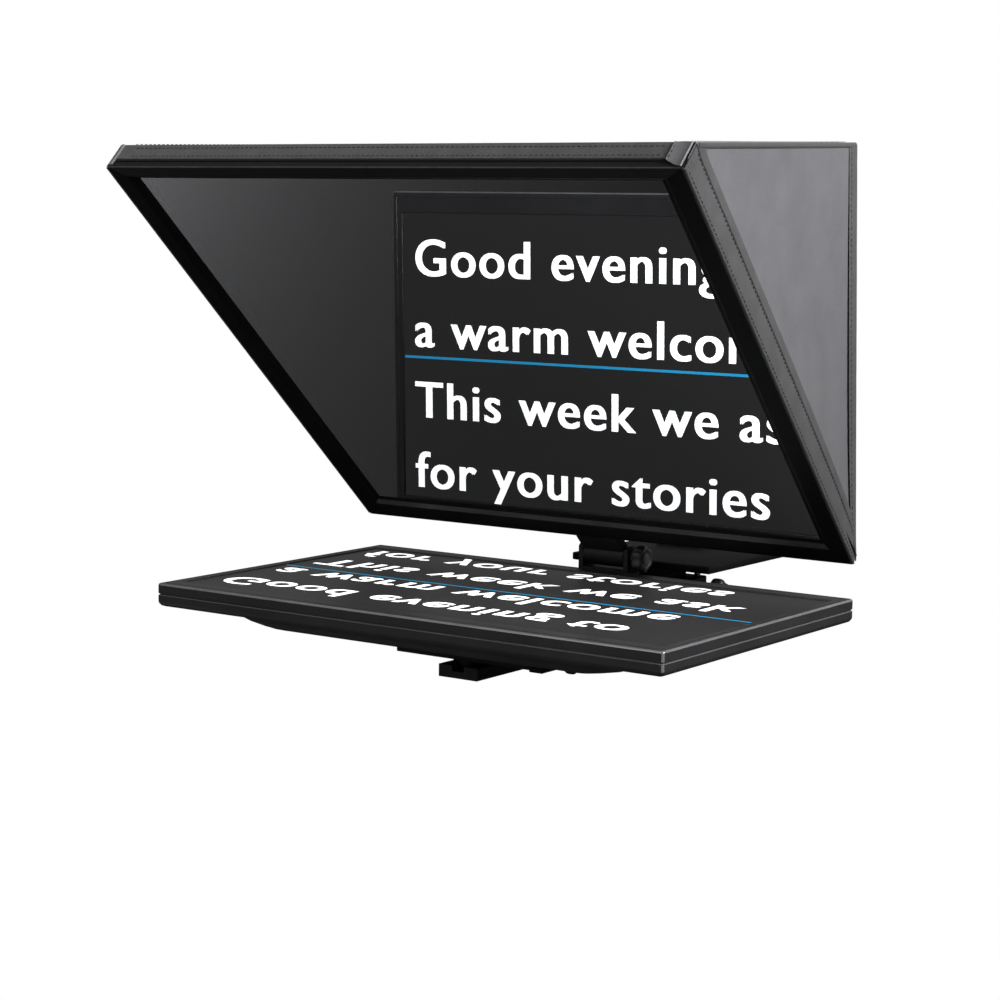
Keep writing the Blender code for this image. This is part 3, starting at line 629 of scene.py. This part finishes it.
def on_roof(u, v):
    """A point of the roof: u across from -1 to 1, v from the glass frame's head to the rear."""
    clear = HOOD_THICKNESS + GAP
    t = max(0.0, (v - ROOF_BEND) / (1 - ROOF_BEND))
    if v < ROOF_BEND:
        p = HOOD_HEAD.lerp(HOOD_RIM, v / ROOF_BEND)
    else:
        p = HOOD_RIM.lerp(HOOD_REAR_TOP, t)
    slack = math.sin(math.pi * t) * (1 - u * u)
    ripple = noise.noise(Vector((u * 3, t * 4, 7.0))) * 0.003 * slack
    return Vector((u * (p.x - clear), p.y, p.z - 0.007 * slack + ripple))


def hood_roof(stitching):
    """The rim strip above the glass, in the bindings' finish, and the roof behind it."""
    strip_rows = 5
    rows = steps(strip_rows, 0.0, ROOF_BEND) + steps(26, ROOF_BEND, 1.0)[1:]
    sheet = panel("hood_roof", on_roof, steps(44, -1.0, 1.0), rows, -Z, bound=strip_rows)
    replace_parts(sheet, "hood_top_panel")
    lift = UP * THREAD_RISE
    for back in (0.0130, RIM_BACK - 0.0040):
        run = [on_frame(x, SLANT, back) + lift for x in steps(40, -HEAD_HALF + 0.02, HEAD_HALF - 0.02)]
        stitching.row(run, UP, 0.00022)
    for sign in (-1, 1):
        inner = [on_roof(sign * 0.985, v) + Z * THREAD_RISE for v in steps(40, 0.14, 0.98)]
        stitching.row(inner, Z)
    stitching.row([on_roof(u, 0.975) + Z * THREAD_RISE for u in steps(40, -0.97, 0.97)], Z)


def corner_patches(stitching):
    """Leather folded over each upper corner of the rim, and beside it a dark strip of lining colour that
    paints the shade of a gap.
    """
    thick, proud = 0.0009, 0.0009
    end = RIM_BACK - 0.0004
    for sign, side, inboard, cut in ((1, "right", 0.0185, 0.0070), (-1, "left", 0.006, 0.002)):
        path = [(inboard, 0.0), (inboard - 0.0008, 0.0007), (inboard - 0.0022, 0.0), (inboard * 0.5, 0.0003),
                (0.0040, 0.0), (0.0032, 0.0006), (0.0026, 0.0)]
        shape = Shape()
        rings = []
        for t in steps(12):
            upper, lower = [], []
            for inset, rise in path:
                start = 0.0012 + cut * (inset / inboard) ** 2
                back = start + (end - start) * t
                x = (edge_half(SLANT, back) + STAND_OFF + proud - inset) * sign
                upper.append(on_frame(x, SLANT + STAND_OFF + rise + thick, back))
                lower.append(on_frame(x, SLANT + STAND_OFF, back))
            rings.append(upper + lower[::-1])
        shape.tube(rings)
        shape.piece(f"hood_{side}_corner_patch", "glass_head", "hood_leather", LEATHER, angle=45)

        def shade_strip_spine(t):
            back = 0.0006 + (end - 0.0006) * t
            half = edge_half(SLANT, back) + STAND_OFF + proud
            a, b = (on_frame((half - inset) * sign, SLANT + STAND_OFF, back) for inset in (0.0027, 0.0008))
            return a, b, UP
        # A dark strip of lining colour: painted shade.
        ribbon(f"hood_{side}_corner_shade_strip", shade_strip_spine, 12, 0.0002, LINING)
        half = edge_half(SLANT, 0.01)
        stitching.row([on_frame((half - inboard + 0.0034) * sign, SLANT + STAND_OFF + thick + 0.0002, b)
                       for b in steps(6, 0.009, RIM_BACK - 0.002)], UP)


SLEEVE_LOW, SLEEVE_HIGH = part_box("lens_sleeve")
LENS_CENTRE = (SLEEVE_LOW + SLEEVE_HIGH) / 2
FLANGE_R = (SLEEVE_HIGH.x - SLEEVE_LOW.x) / 2
OPENING_R = FLANGE_R - FLANGE_WIDTH


def hood_back(stitching):
    """The upright rear panel: rings of points from the lens opening out to its own edges."""
    low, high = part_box("hood_rear_panel")
    clear = HOOD_THICKNESS + GAP
    foot_half = HOOD_REAR_FOOT.x - clear
    head_half = HOOD_REAR_TOP.x - clear
    corners = [Vector((foot_half, low.z)), Vector((head_half, high.z)),
               Vector((-head_half, high.z)), Vector((-foot_half, low.z))]
    centre = Vector((0, LENS_CENTRE.z))
    count = 144
    edges = list(zip(corners, corners[1:] + corners[:1]))

    def reach(angle):
        """The distance from the opening's middle to the nearest edge that a ray meets."""
        way = Vector((math.cos(angle), math.sin(angle)))
        met = []
        for a, b in edges:
            outward = Vector(((b - a).y, (a - b).x))
            if outward.dot(way) > 1e-9:
                met.append(outward.dot(a - centre) / outward.dot(way))
        return min(met)

    corner_angles = [math.atan2((c - centre).y, (c - centre).x) % (2 * math.pi) for c in corners]
    angles = sorted(set([2 * math.pi * i / count for i in range(count)] + corner_angles))
    shape = Shape()
    for side, mark in ((0.0, 0), (-HOOD_THICKNESS, 1)):
        rings = []
        for share in steps(10):
            points = []
            for angle in angles:
                size = OPENING_R + (reach(angle) - OPENING_R) * share
                x, z = centre.x + size * math.cos(angle), centre.y + size * math.sin(angle)
                slack = math.sin(math.pi * share)
                give = (0.35 + noise.noise(Vector((x * 9, z * 9, 1.0)))) * 0.0035 * slack
                points.append(Vector((x, high.y + side - give, z)))
            rings.append(shape.ring(points))
        for a, b in zip(rings, rings[1:]):
            shape.bridge(a, b, mark)
        if side == 0.0:
            outside = rings
        else:
            shape.bridge(outside[0], rings[0], 0)
            shape.bridge(outside[-1], rings[-1], 0)
    sheet = shape.piece("hood_back", "glass_head", "hood_leather", LEATHER, LINING, angle=40)
    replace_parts(sheet, "hood_rear_panel")
    y = high.y + 0.0002
    for a, b in edges:
        along = (b - a).normalized()
        inward = Vector((-along.y, along.x))
        for inset in (0.0030, 0.0110):
            ends = (a + along * 0.012 + inward * inset, b - along * 0.012 + inward * inset)
            stitching.row([Vector((p.x, y, p.y)) for p in ends], Y)


def lens_flap(stitching):
    """A cloth flap that hangs inside the rear panel and keeps light out while no camera is mounted."""
    half, rise, drop = OPENING_R + 0.012, OPENING_R + 0.016, OPENING_R + 0.012
    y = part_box("hood_rear_panel")[1].y - 0.0085
    tall = rise + drop

    def at(u, v):
        width = half * (math.sqrt(1 - (1 - v / 0.4) ** 2) if v < 0.4 else 1)
        x = (2 * u - 1) * max(width, 0.02)
        z = LENS_CENTRE.z - drop + tall * v
        hang = noise.noise(Vector((x * 16, z * 5, 11.0))) * 0.0022 * (1 - v)
        return Vector((x, y - abs(hang), z))

    flap = panel("lens_flap", at, steps(28), steps(28), -Y, 0.0012)
    stitching.row([at(u, 0.97) + Y * THREAD_RISE for u in steps(20, 0.03, 0.97)], Y)


def lens_sleeve(stitching):
    """The cuff round the lens: a sewn flange, soft pleats and an elastic hem at its end."""
    start, end = SLEEVE_LOW.y, SLEEVE_HIGH.y
    length = end - start
    end_r = 0.0575
    pleats, count = 30, 240
    shape = Shape()
    profile = [(0.0002, FLANGE_R, 0), (0.0016, FLANGE_R - 0.0004, 0), (0.0019, FLANGE_R - 0.004, 0),
               (0.0024, OPENING_R + 0.0035, 0.1)]
    for t in steps(14)[1:]:
        slope = OPENING_R + 0.0025 + (end_r - OPENING_R - 0.0025) * t ** 0.8
        profile.append((0.003 + (length - 0.0055) * t, slope, math.sin(math.pi * min(1, t * 0.9)) ** 0.7))
    profile += [(length - 0.0012, end_r + 0.0008, 0.25), (length, end_r, 0.1),
                (length - 0.0012, end_r - 0.0016, 0.1)]
    inner = [(along, radius - 0.0022, pleated) for along, radius, pleated in reversed(profile[4:-3])]
    profile += inner + [(0.0002, OPENING_R - 0.0002, 0)]
    rings = []
    for along, radius, pleated in profile:
        def wavy(angle, r=radius, p=pleated):
            swell = math.sin(pleats * angle + 1.3 * math.sin(3 * angle))
            return r + 0.0016 * p * swell
        rings.append(shape.ring(around((LENS_CENTRE.x, start, LENS_CENTRE.z), Y, wavy, count, along)))
    for a, b in zip(rings, rings[1:] + rings[:1]):
        shape.bridge(a, b)
    sleeve = shape.piece("lens_cuff", "glass_head", "hood_leather", BINDING, angle=50)
    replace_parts(sleeve, "lens_sleeve")
    ring = around((LENS_CENTRE.x, start, LENS_CENTRE.z), Y, lambda a: FLANGE_R - 0.0028, 96, 0.0021)
    stitching.row(ring + ring[:1], Y)


# ---- monitor ----
BEZEL_LOW, BEZEL_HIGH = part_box("monitor_front_bezel")
SCREEN_LOW, SCREEN_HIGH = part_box("screen_panel")
CASE_LOW, CASE_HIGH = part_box("monitor_rear_cover")
MONITOR_MIDDLE = (BEZEL_LOW + BEZEL_HIGH) / 2


def rounded(middle, half_x, half_y, radius, z):
    """A level ring: a rectangle with round corners."""
    arc = 8
    points = []
    for k, (sx, sy) in enumerate(((1, 1), (-1, 1), (-1, -1), (1, -1))):
        for i in range(arc + 1):
            angle = math.pi / 2 * (k + i / arc)
            points.append(Vector((middle.x + sx * (half_x - radius) + radius * math.cos(angle),
                                  middle.y + sy * (half_y - radius) + radius * math.sin(angle), z)))
    return points


def bezel():
    """The front bezel, with a fine groove round the screen; its chamfer and round corners are painted a
    lighter grey as a highlight.
    """
    half_x, half_y = (BEZEL_HIGH.x - BEZEL_LOW.x) / 2, (BEZEL_HIGH.y - BEZEL_LOW.y) / 2
    glass_x, glass_y = (SCREEN_HIGH.x - SCREEN_LOW.x) / 2 + GAP, (SCREEN_HIGH.y - SCREEN_LOW.y) / 2 + GAP
    top, low = BEZEL_HIGH.z, BEZEL_LOW.z
    levels = [                    # inset from the outer edge, drop from the top, finish (1 is the lighter grey of a painted highlight)
        (0.0006, top - low, 0), (0.0, top - low - 0.0006, 0), (0.0, 0.0018, 1), (0.0004, 0.0009, 1),
        (0.0013, 0.0002, 0), (0.0022, 0.0, 0), (0.0052, 0.0, 0), (0.0055, 0.0003, 0),
        (0.0059, 0.0003, 0), (0.0062, 0.0, 0)]
    rings = [rounded(MONITOR_MIDDLE, half_x - s, half_y - s, CASE_CORNER - min(s, 0.004) * 0.8, top - d)
             for s, d, _ in levels]
    marks = [m for _, _, m in levels]
    for s, d, mark in ((0.0012, 0.0, 0), (0.0004, 0.0003, 0), (0.0, 0.0010, 0), (0.0, top - low, 0)):
        rings.append(rounded(MONITOR_MIDDLE, glass_x + s, glass_y + s, 0.0008 + s, top - d))
        marks.append(mark)
    shape = Shape()
    made = [shape.ring(r) for r in rings]
    for a, b, mark in zip(made, made[1:] + made[:1], marks):
        shape.bridge(a, b, mark)
    # The round corners also take the lighter grey: a painted highlight.
    shape.mark_corners(1)
    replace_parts(shape.piece("monitor_bezel", "monitor", "case_plastic", CASE, CASE_PAINTED_HIGHLIGHT, angle=CASE_CREASE),
                "monitor_front_bezel")


def cut_boxes(thing, boxes):
    """Pockets cut into a piece, each box given by its lowest and highest corner."""
    shape = Shape()
    for low, high in boxes:
        sides = ((low.x, low.y), (high.x, low.y), (high.x, high.y), (low.x, high.y))
        shape.tube([[Vector((x, y, z)) for x, y in sides] for z in (low.z, high.z)])
    tool = linked("pockets", shape.mesh("pockets"))
    modifier = thing.modifiers.new("pockets", "BOOLEAN")
    modifier.operation, modifier.solver, modifier.object = "DIFFERENCE", "EXACT", tool
    cut = evaluated(thing)
    thing.modifiers.clear()
    thing.data = cut
    thing.data.set_sharp_from_angle(angle=math.radians(CASE_CREASE))
    bpy.data.objects.remove(tool)


BUTTONS = ("power_button", "menu_button", "plus_button", "minus_button", "input_button")


def rear_cover():
    """The thin slab with its tapered bulge, air slots in two rows and pockets for the buttons."""
    half_x, half_y = (CASE_HIGH.x - CASE_LOW.x) / 2, (CASE_HIGH.y - CASE_LOW.y) / 2
    seam, bottom = CASE_HIGH.z, CASE_LOW.z
    sockets_low, sockets_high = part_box("connector_panel")
    base = sockets_high.z + GAP
    bulge_back = sockets_low.y - GAP
    bulge_front = CASE_LOW.y + 0.028
    middle = (CASE_LOW + CASE_HIGH) / 2
    bulge = Vector((0, (bulge_front + bulge_back) / 2, 0))
    bulge_y = (bulge_back - bulge_front) / 2
    levels = [(0.0012, seam), (0.0009, seam - 0.0006), (0.0, seam - 0.0011), (0.0, base + 0.0042),
              (0.0006, base + 0.0026), (0.0022, base + 0.0008), (0.0045, base)]
    rings = [rounded(middle, half_x - s, half_y - s, CASE_CORNER - s * 0.3, z) for s, z in levels]
    rings.append(rounded(bulge, 0.2055, bulge_y, 0.010, base))
    rings.append(rounded(bulge, 0.2030, bulge_y - 0.0004, 0.010, base - 0.0008))
    lower = Vector((0, bulge.y + 0.006, 0))
    for half, inset, drop in ((0.1890, 0.0058, 0.0050), (0.1740, 0.0068, 0.0022), (0.1640, 0.0082, 0.0006),
                              (0.1590, 0.0100, 0.0)):
        rings.append(rounded(lower, half, bulge_y - inset, 0.010, bottom + drop))
    shape = Shape()
    # The lip below the seam takes the lighter grey, and so do the round corners: a painted highlight.
    shape.tube(rings, [0, 1] + [0] * (len(rings) - 3))
    shape.mark_corners(1)
    cover = shape.piece("monitor_cover", "monitor", "case_plastic", CASE, CASE_PAINTED_HIGHLIGHT, angle=CASE_CREASE)
    pockets = []
    room = Vector((0, 2 * GAP, 2 * GAP))
    for name in BUTTONS:
        low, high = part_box(name)
        pockets.append((low - room - X * 0.004, high + room + X * 0.0015))
    for row_y in (-0.055, 0.055):
        for i in range(30):
            x, y = -0.145 + 0.010 * i, lower.y + row_y
            pockets.append((Vector((x - 0.0016, y - 0.013, bottom - 0.01)),
                            Vector((x + 0.0016, y + 0.013, bottom + 0.003))))
    cut_boxes(cover, pockets)
    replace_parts(cover, "monitor_rear_cover")
    screws = Shape()
    for x in (-0.236, 0.0, 0.236):
        for y in (CASE_LOW.y + 0.012, CASE_HIGH.y - 0.012):
            bolt(screws, (x, y, base - 0.0001), -Z, 0.0032, 0.0010)
    screws.piece("cover_screws", "monitor", "steel", STEEL)


def script():
    """Four lines of mirrored script and the blue cue line, a hair above the screen."""
    left = SCREEN_LOW.x + 0.0120
    first = SCREEN_LOW.y + FIRST_BASELINE
    z = SCREEN_HIGH.z + 0.00012
    size = CAP_HEIGHT / FONT_CAP_SHARE
    for k, words in enumerate(SCRIPT):
        curve = bpy.data.curves.new(f"script_line_{k + 1}", "FONT")
        curve.body = words
        curve.size = size
        curve.space_character = 1.10
        curve.offset = 0.0002
        text = linked(curve.name + "_curve", curve)
        mesh = evaluated(text)
        bpy.data.objects.remove(text)
        mesh.name = curve.name
        baseline = first + k * LINE_PITCH
        bm = bmesh.new()
        bm.from_mesh(mesh)
        for v in bm.verts:
            v.co = Vector((left + v.co.x * LETTER_STRETCH, baseline - v.co.y, z))
        bmesh.ops.reverse_faces(bm, faces=bm.faces)
        again = bmesh.ops.duplicate(bm, geom=bm.verts[:] + bm.edges[:] + bm.faces[:])["geom"]
        moved = [part for part in again if isinstance(part, bmesh.types.BMVert)]
        bmesh.ops.translate(bm, vec=(STRIKE, 0, 0.00003), verts=moved)
        bm.to_mesh(mesh)
        bm.free()
        mesh.materials.clear()
        mesh.materials.append(PRINT)
        line = linked(curve.name, mesh)
        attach(line, "monitor")
    y = first + LINE_PITCH + CUE_DROP
    shape = Shape()
    start, end = SCREEN_LOW.x + 0.001, SCREEN_HIGH.x - 0.001
    low, high = y - 0.0012, y + 0.0012
    shape.face(shape.ring([(start, low, z), (end, low, z), (end, high, z), (start, high, z)]))
    shape.piece("cue_line", "monitor", "screen", CUE)


# ---- hardware ----
def grip(node, body, axis):
    """A moulded hand knob with soft lobes, a dished face, a cap and a steel stem."""
    low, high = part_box(node)
    axis = Vector(axis)
    middle = (low + high) / 2
    radius = (high.z - low.z) / 2
    length = abs((high - low).dot(axis))
    start = middle - axis * length / 2
    thickness = GRIP_DEPTH[node]
    stem = length - thickness
    shape = Shape()
    turn(shape, start, axis, [(a, radius * 0.30, 0) for a in (0, stem * 0.5, stem + 0.001)], 24, mark=1)
    handle = ((0.0, 0.42, 0), (0.02, 0.60, 0.2), (0.10, 0.84, 0.7), (0.18, 0.94, 0.95), (0.30, 0.99, 1),
              (0.55, 1.0, 1), (0.78, 0.98, 1), (0.90, 0.93, 0.95), (0.97, 0.84, 0.8), (1.0, 0.72, 0.5),
              (0.985, 0.60, 0.2), (0.93, 0.52, 0), (0.92, 0.44, 0))
    cap = ((0.88, 0.40, 0), (0.95, 0.40, 0), (0.99, 0.34, 0), (1.0, 0.2, 0))
    handle, cap = ([(stem + thickness * a, radius * r, lobed) for a, r, lobed in part]
                   for part in (handle, cap))
    turn(shape, start, axis, handle, 96, 0, GRIP_LOBES, radius * LOBE_DEPTH)
    turn(shape, start, axis, cap, 32, 2)
    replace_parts(shape.piece(node + "_grip", body, "knob_plastic", KNOB, STEEL, RUBBER, angle=30), node)


def camera_screw():
    """The captive camera screw: a finely knurled head and a 1/4 inch thread."""
    low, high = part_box("camera_screw")
    centre = Vector(((low.x + high.x) / 2, (low.y + high.y) / 2, low.z))
    radius = (high.x - low.x) / 2
    shape = Shape()
    turn(shape, centre, Z, [(0, radius * 0.86, 0), (0.0006, radius * 0.93, 0.5), (0.0014, radius, 1),
                            (0.0076, radius, 1), (0.0084, radius * 0.93, 0.5), (0.009, radius * 0.86, 0)],
         144, 0, 36, 0.0006)
    thread = [(0.009, 0.0029, 0)]
    pitch = 0.00127
    top = high.z - low.z
    for i in range(int((top - 0.0105) / pitch)):
        thread += [(0.0098 + i * pitch, 0.0027, 0), (0.0098 + (i + 0.5) * pitch, 0.0032, 0)]
    thread += [(top - 0.0004, 0.0027, 0), (top, 0.0023, 0)]
    turn(shape, centre, Z, thread, 32)
    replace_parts(shape.piece("camera_thumbscrew", "screw", "steel", STEEL, angle=28), "camera_screw")


def hinge_pin():
    """The hinge's round pin, with a head at one end."""
    low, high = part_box("hinge_pin")
    middle = (low + high) / 2
    length = high.x - low.x
    shape = Shape()
    turn(shape, (low.x, middle.y, middle.z), X,
         [(0, 0.0030, 0), (0.0003, 0.0052, 0), (0.0008, 0.0058, 0), (0.002, 0.006, 0),
          (0.002, 0.0035, 0), (length, 0.0035, 0)])
    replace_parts(shape.piece("hinge_pin_round", "base", "steel", STEEL), "hinge_pin")


def mounting_hardware():
    """The plate's standoffs and screws, and the screws of the foot and the riser guide."""
    posts, screws = Shape(), Shape()
    for k in range(1, 5):
        low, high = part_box(f"standoff_{k}")
        middle = (low + high) / 2
        tall = high.z - low.z
        turn(posts, (middle.x, middle.y, low.z), Z,
             [(0, 0.0052, 0), (0.0006, 0.0060, 0), (0.0035, 0.0060, 0), (0.004, 0.0054, 0),
              (tall - 0.001, 0.0054, 0), (tall, 0.0050, 0)])
        _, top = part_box(f"vesa_screw_{k}")
        bolt(screws, (middle.x, middle.y, top.z), -Z, 0.0044, 0.0023)
    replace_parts(posts.piece("standoffs", "monitor", "steel", STEEL), *(f"standoff_{k}" for k in range(1, 5)))
    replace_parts(screws.piece("plate_screws", "monitor", "steel", STEEL),
                *(f"vesa_screw_{k}" for k in range(1, 5)))
    fixed = Shape()
    low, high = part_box("upright_foot")
    for x in (-0.020, 0.020):
        bolt(fixed, (x, high.y - 0.0095, high.z), Z, 0.0036, 0.0036)
    low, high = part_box("riser_guide")
    for x in (low.x + 0.0075, high.x - 0.0075):
        for y in (low.y + 0.006, high.y - 0.006):
            bolt(fixed, (x, y, high.z), Z, 0.0030, 0.0028)
    fixed.piece("base_screws", "base", "steel", STEEL)


def paint(node, material):
    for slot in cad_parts[node].material_slots:
        slot.material = material


def hard_parts():
    """The plain machined and moulded parts, with rounded edges and their finishes."""
    for node, body, width in (
            ("base_rail", "base", 0.0007), ("stand_plate", "base", 0.0008), ("upright_foot", "base", 0.0009),
            ("upright_post", "base", 0.0005), ("hinge_fork", "base", 0.0006), ("riser_guide", "base", 0.0005),
            ("riser_post", "riser", 0.0006), ("riser_head", "riser", 0.0005),
            ("vesa_plate", "monitor", 0.0004), ("slide_block", "monitor", 0.0008),
            ("rail_jaws", "monitor", 0.0008), ("hinge_tongue", "glass_head", 0.0004)):
        # The rounded edges take the lighter edge grey: partly edge wear, partly a painted highlight.
        refined(node, body, ALUMINIUM, width, EDGE_WEAR_AND_HIGHLIGHT)
    refined("camera_platform", "platform", FRAME_BLACK, 0.0004, EDGE_WEAR_AND_HIGHLIGHT)
    for name in ("lower_left", "upper_left", "upper_right", "lower_right"):
        refined("corner_plate_" + name, "glass_head", ALUMINIUM, 0.0003, EDGE_WEAR_AND_HIGHLIGHT)
    for node in BUTTONS:
        refined(node, node, KNOB, 0.0005)
    for node in ("rail_cap_front", "rail_cap_rear"):
        refined(node, "base", KNOB, 0.0006)
    refined("camera_plate", "platform", RUBBER, 0.0005)
    for node in ("video_socket", "display_socket", "power_socket"):
        refined(node, "monitor", SOCKET, 0.0002)
    refined("connector_panel", "monitor", CASE, 0.0003)
    for side in ("left", "top", "right", "bottom"):
        paint("glass_bead_" + side, ALUMINIUM)
    paint("screen_panel", SCREEN)


# ---- stage, light and camera ----
def softbox(name, place, target, wide, tall, power):
    light = bpy.data.lights.new(name, "AREA")
    light.shape, light.size, light.size_y, light.energy = "RECTANGLE", wide, tall, power
    lamp = linked(name, light)
    lamp.location = place
    lamp.rotation_euler = (Vector(target) - Vector(place)).to_track_quat("-Z", "Y").to_euler()
    lamp.visible_camera = False
    return lamp


def lit_for_camera(tree, shown, real, output):
    """A clean white for the camera, and the real surface or sky for every other ray."""
    path = add(tree, "LightPath")
    mix = add(tree, "MixShader")
    tree.links.new(path.outputs["Is Camera Ray"], mix.inputs[0])
    tree.links.new(real.outputs[0], mix.inputs[1])
    tree.links.new(shown.outputs[0], mix.inputs[2])
    tree.links.new(mix.outputs[0], tree.nodes[output].inputs["Surface"])


def studio():
    """A dark floor, a dim sky and five area lights; the last three don't show in gloss."""
    bm = bmesh.new()
    bmesh.ops.create_circle(bm, cap_ends=True, segments=96, radius=60)
    mesh = bpy.data.meshes.new("floor")
    bm.to_mesh(mesh)
    bm.free()
    floor = linked("floor", mesh)
    floor.location = (0, 0, -1.1)
    paper = principled("paper", Base_Color=(0.02, 0.02, 0.02, 1), Roughness=1.0, Specular_IOR_Level=0.0)
    tree = paper.node_tree
    white = add(tree, "Emission", Color=(1, 1, 1, 1))
    lit_for_camera(tree, white, tree.nodes["Principled BSDF"], "Material Output")
    mesh.materials.append(paper)
    world = bpy.data.worlds.new("studio")
    bpy.context.scene.world = world
    world.use_nodes = True
    tree = world.node_tree
    dim = tree.nodes["Background"]
    dim.inputs["Color"].default_value = (1, 1, 1, 1)
    dim.inputs["Strength"].default_value = 0.23
    lit_for_camera(tree, add(tree, "Background", Color=(1, 1, 1, 1)), dim, "World Output")
    bpy.context.scene.view_settings.view_transform = "Standard"
    key = softbox("key", (2.1, -0.3, 1.65), (0.25, -0.3, 0.98), 1.3, 1.3, 30)
    key.data.spread = math.radians(60)
    softbox("front", (-0.6, -2.6, 1.6), (0.0, -0.4, 0.1), 1.4, 0.7, 14)
    softbox("under_fill", (0.2, 0.7, -0.95), (0.0, -0.3, 0.05), 1.4, 1.0, 8).visible_glossy = False
    softbox("low_fill", (0.3, -2.2, -0.7), (0.0, -0.4, 0.05), 1.4, 0.8, 12).visible_glossy = False
    softbox("floor_glow", (-2.3, -1.0, -0.5), (-2.3, -1.0, -1.1), 0.6, 0.6, 180).visible_glossy = False


def camera():
    """The camera from the front right, turned by its azimuth, downward pitch and roll."""
    azimuth, pitch, roll = math.radians(34.74), math.radians(6.918), math.radians(0.82)
    right = Vector((math.cos(azimuth), math.sin(azimuth), 0))
    forward = Vector((-math.sin(azimuth) * math.cos(pitch), math.cos(azimuth) * math.cos(pitch),
                      -math.sin(pitch)))
    up = right.cross(forward)
    rolled = right * math.cos(roll) + up * math.sin(roll)
    upright = up * math.cos(roll) - right * math.sin(roll)
    data = bpy.data.cameras.new("camera")
    data.lens, data.sensor_width = 85.46, 36
    data.clip_start, data.clip_end = 0.05, 60
    view = linked("camera", data)
    turned = Matrix((rolled, upright, -forward)).transposed()
    view.matrix_world = Matrix.Translation((1.1447, -1.9693, 0.4047)) @ turned.to_4x4()
    bpy.context.scene.camera = view


stitching = Stitching()
frame_rails()
glass()
corner_screws()
hood_sides(stitching)
hood_roof(stitching)
corner_patches(stitching)
hood_back(stitching)
lens_flap(stitching)
lens_sleeve(stitching)
stitching.piece("hood_stitching")
bezel()
rear_cover()
script()
grip("tilt_lock_knob", "tilt_knob", X)
grip("monitor_slide_knob", "slide_knob", X)
grip("riser_lock_knob", "riser_knob", X)
grip("platform_lock_knob", "platform_knob", -X)
camera_screw()
hinge_pin()
mounting_hardware()
hard_parts()
studio()
camera()
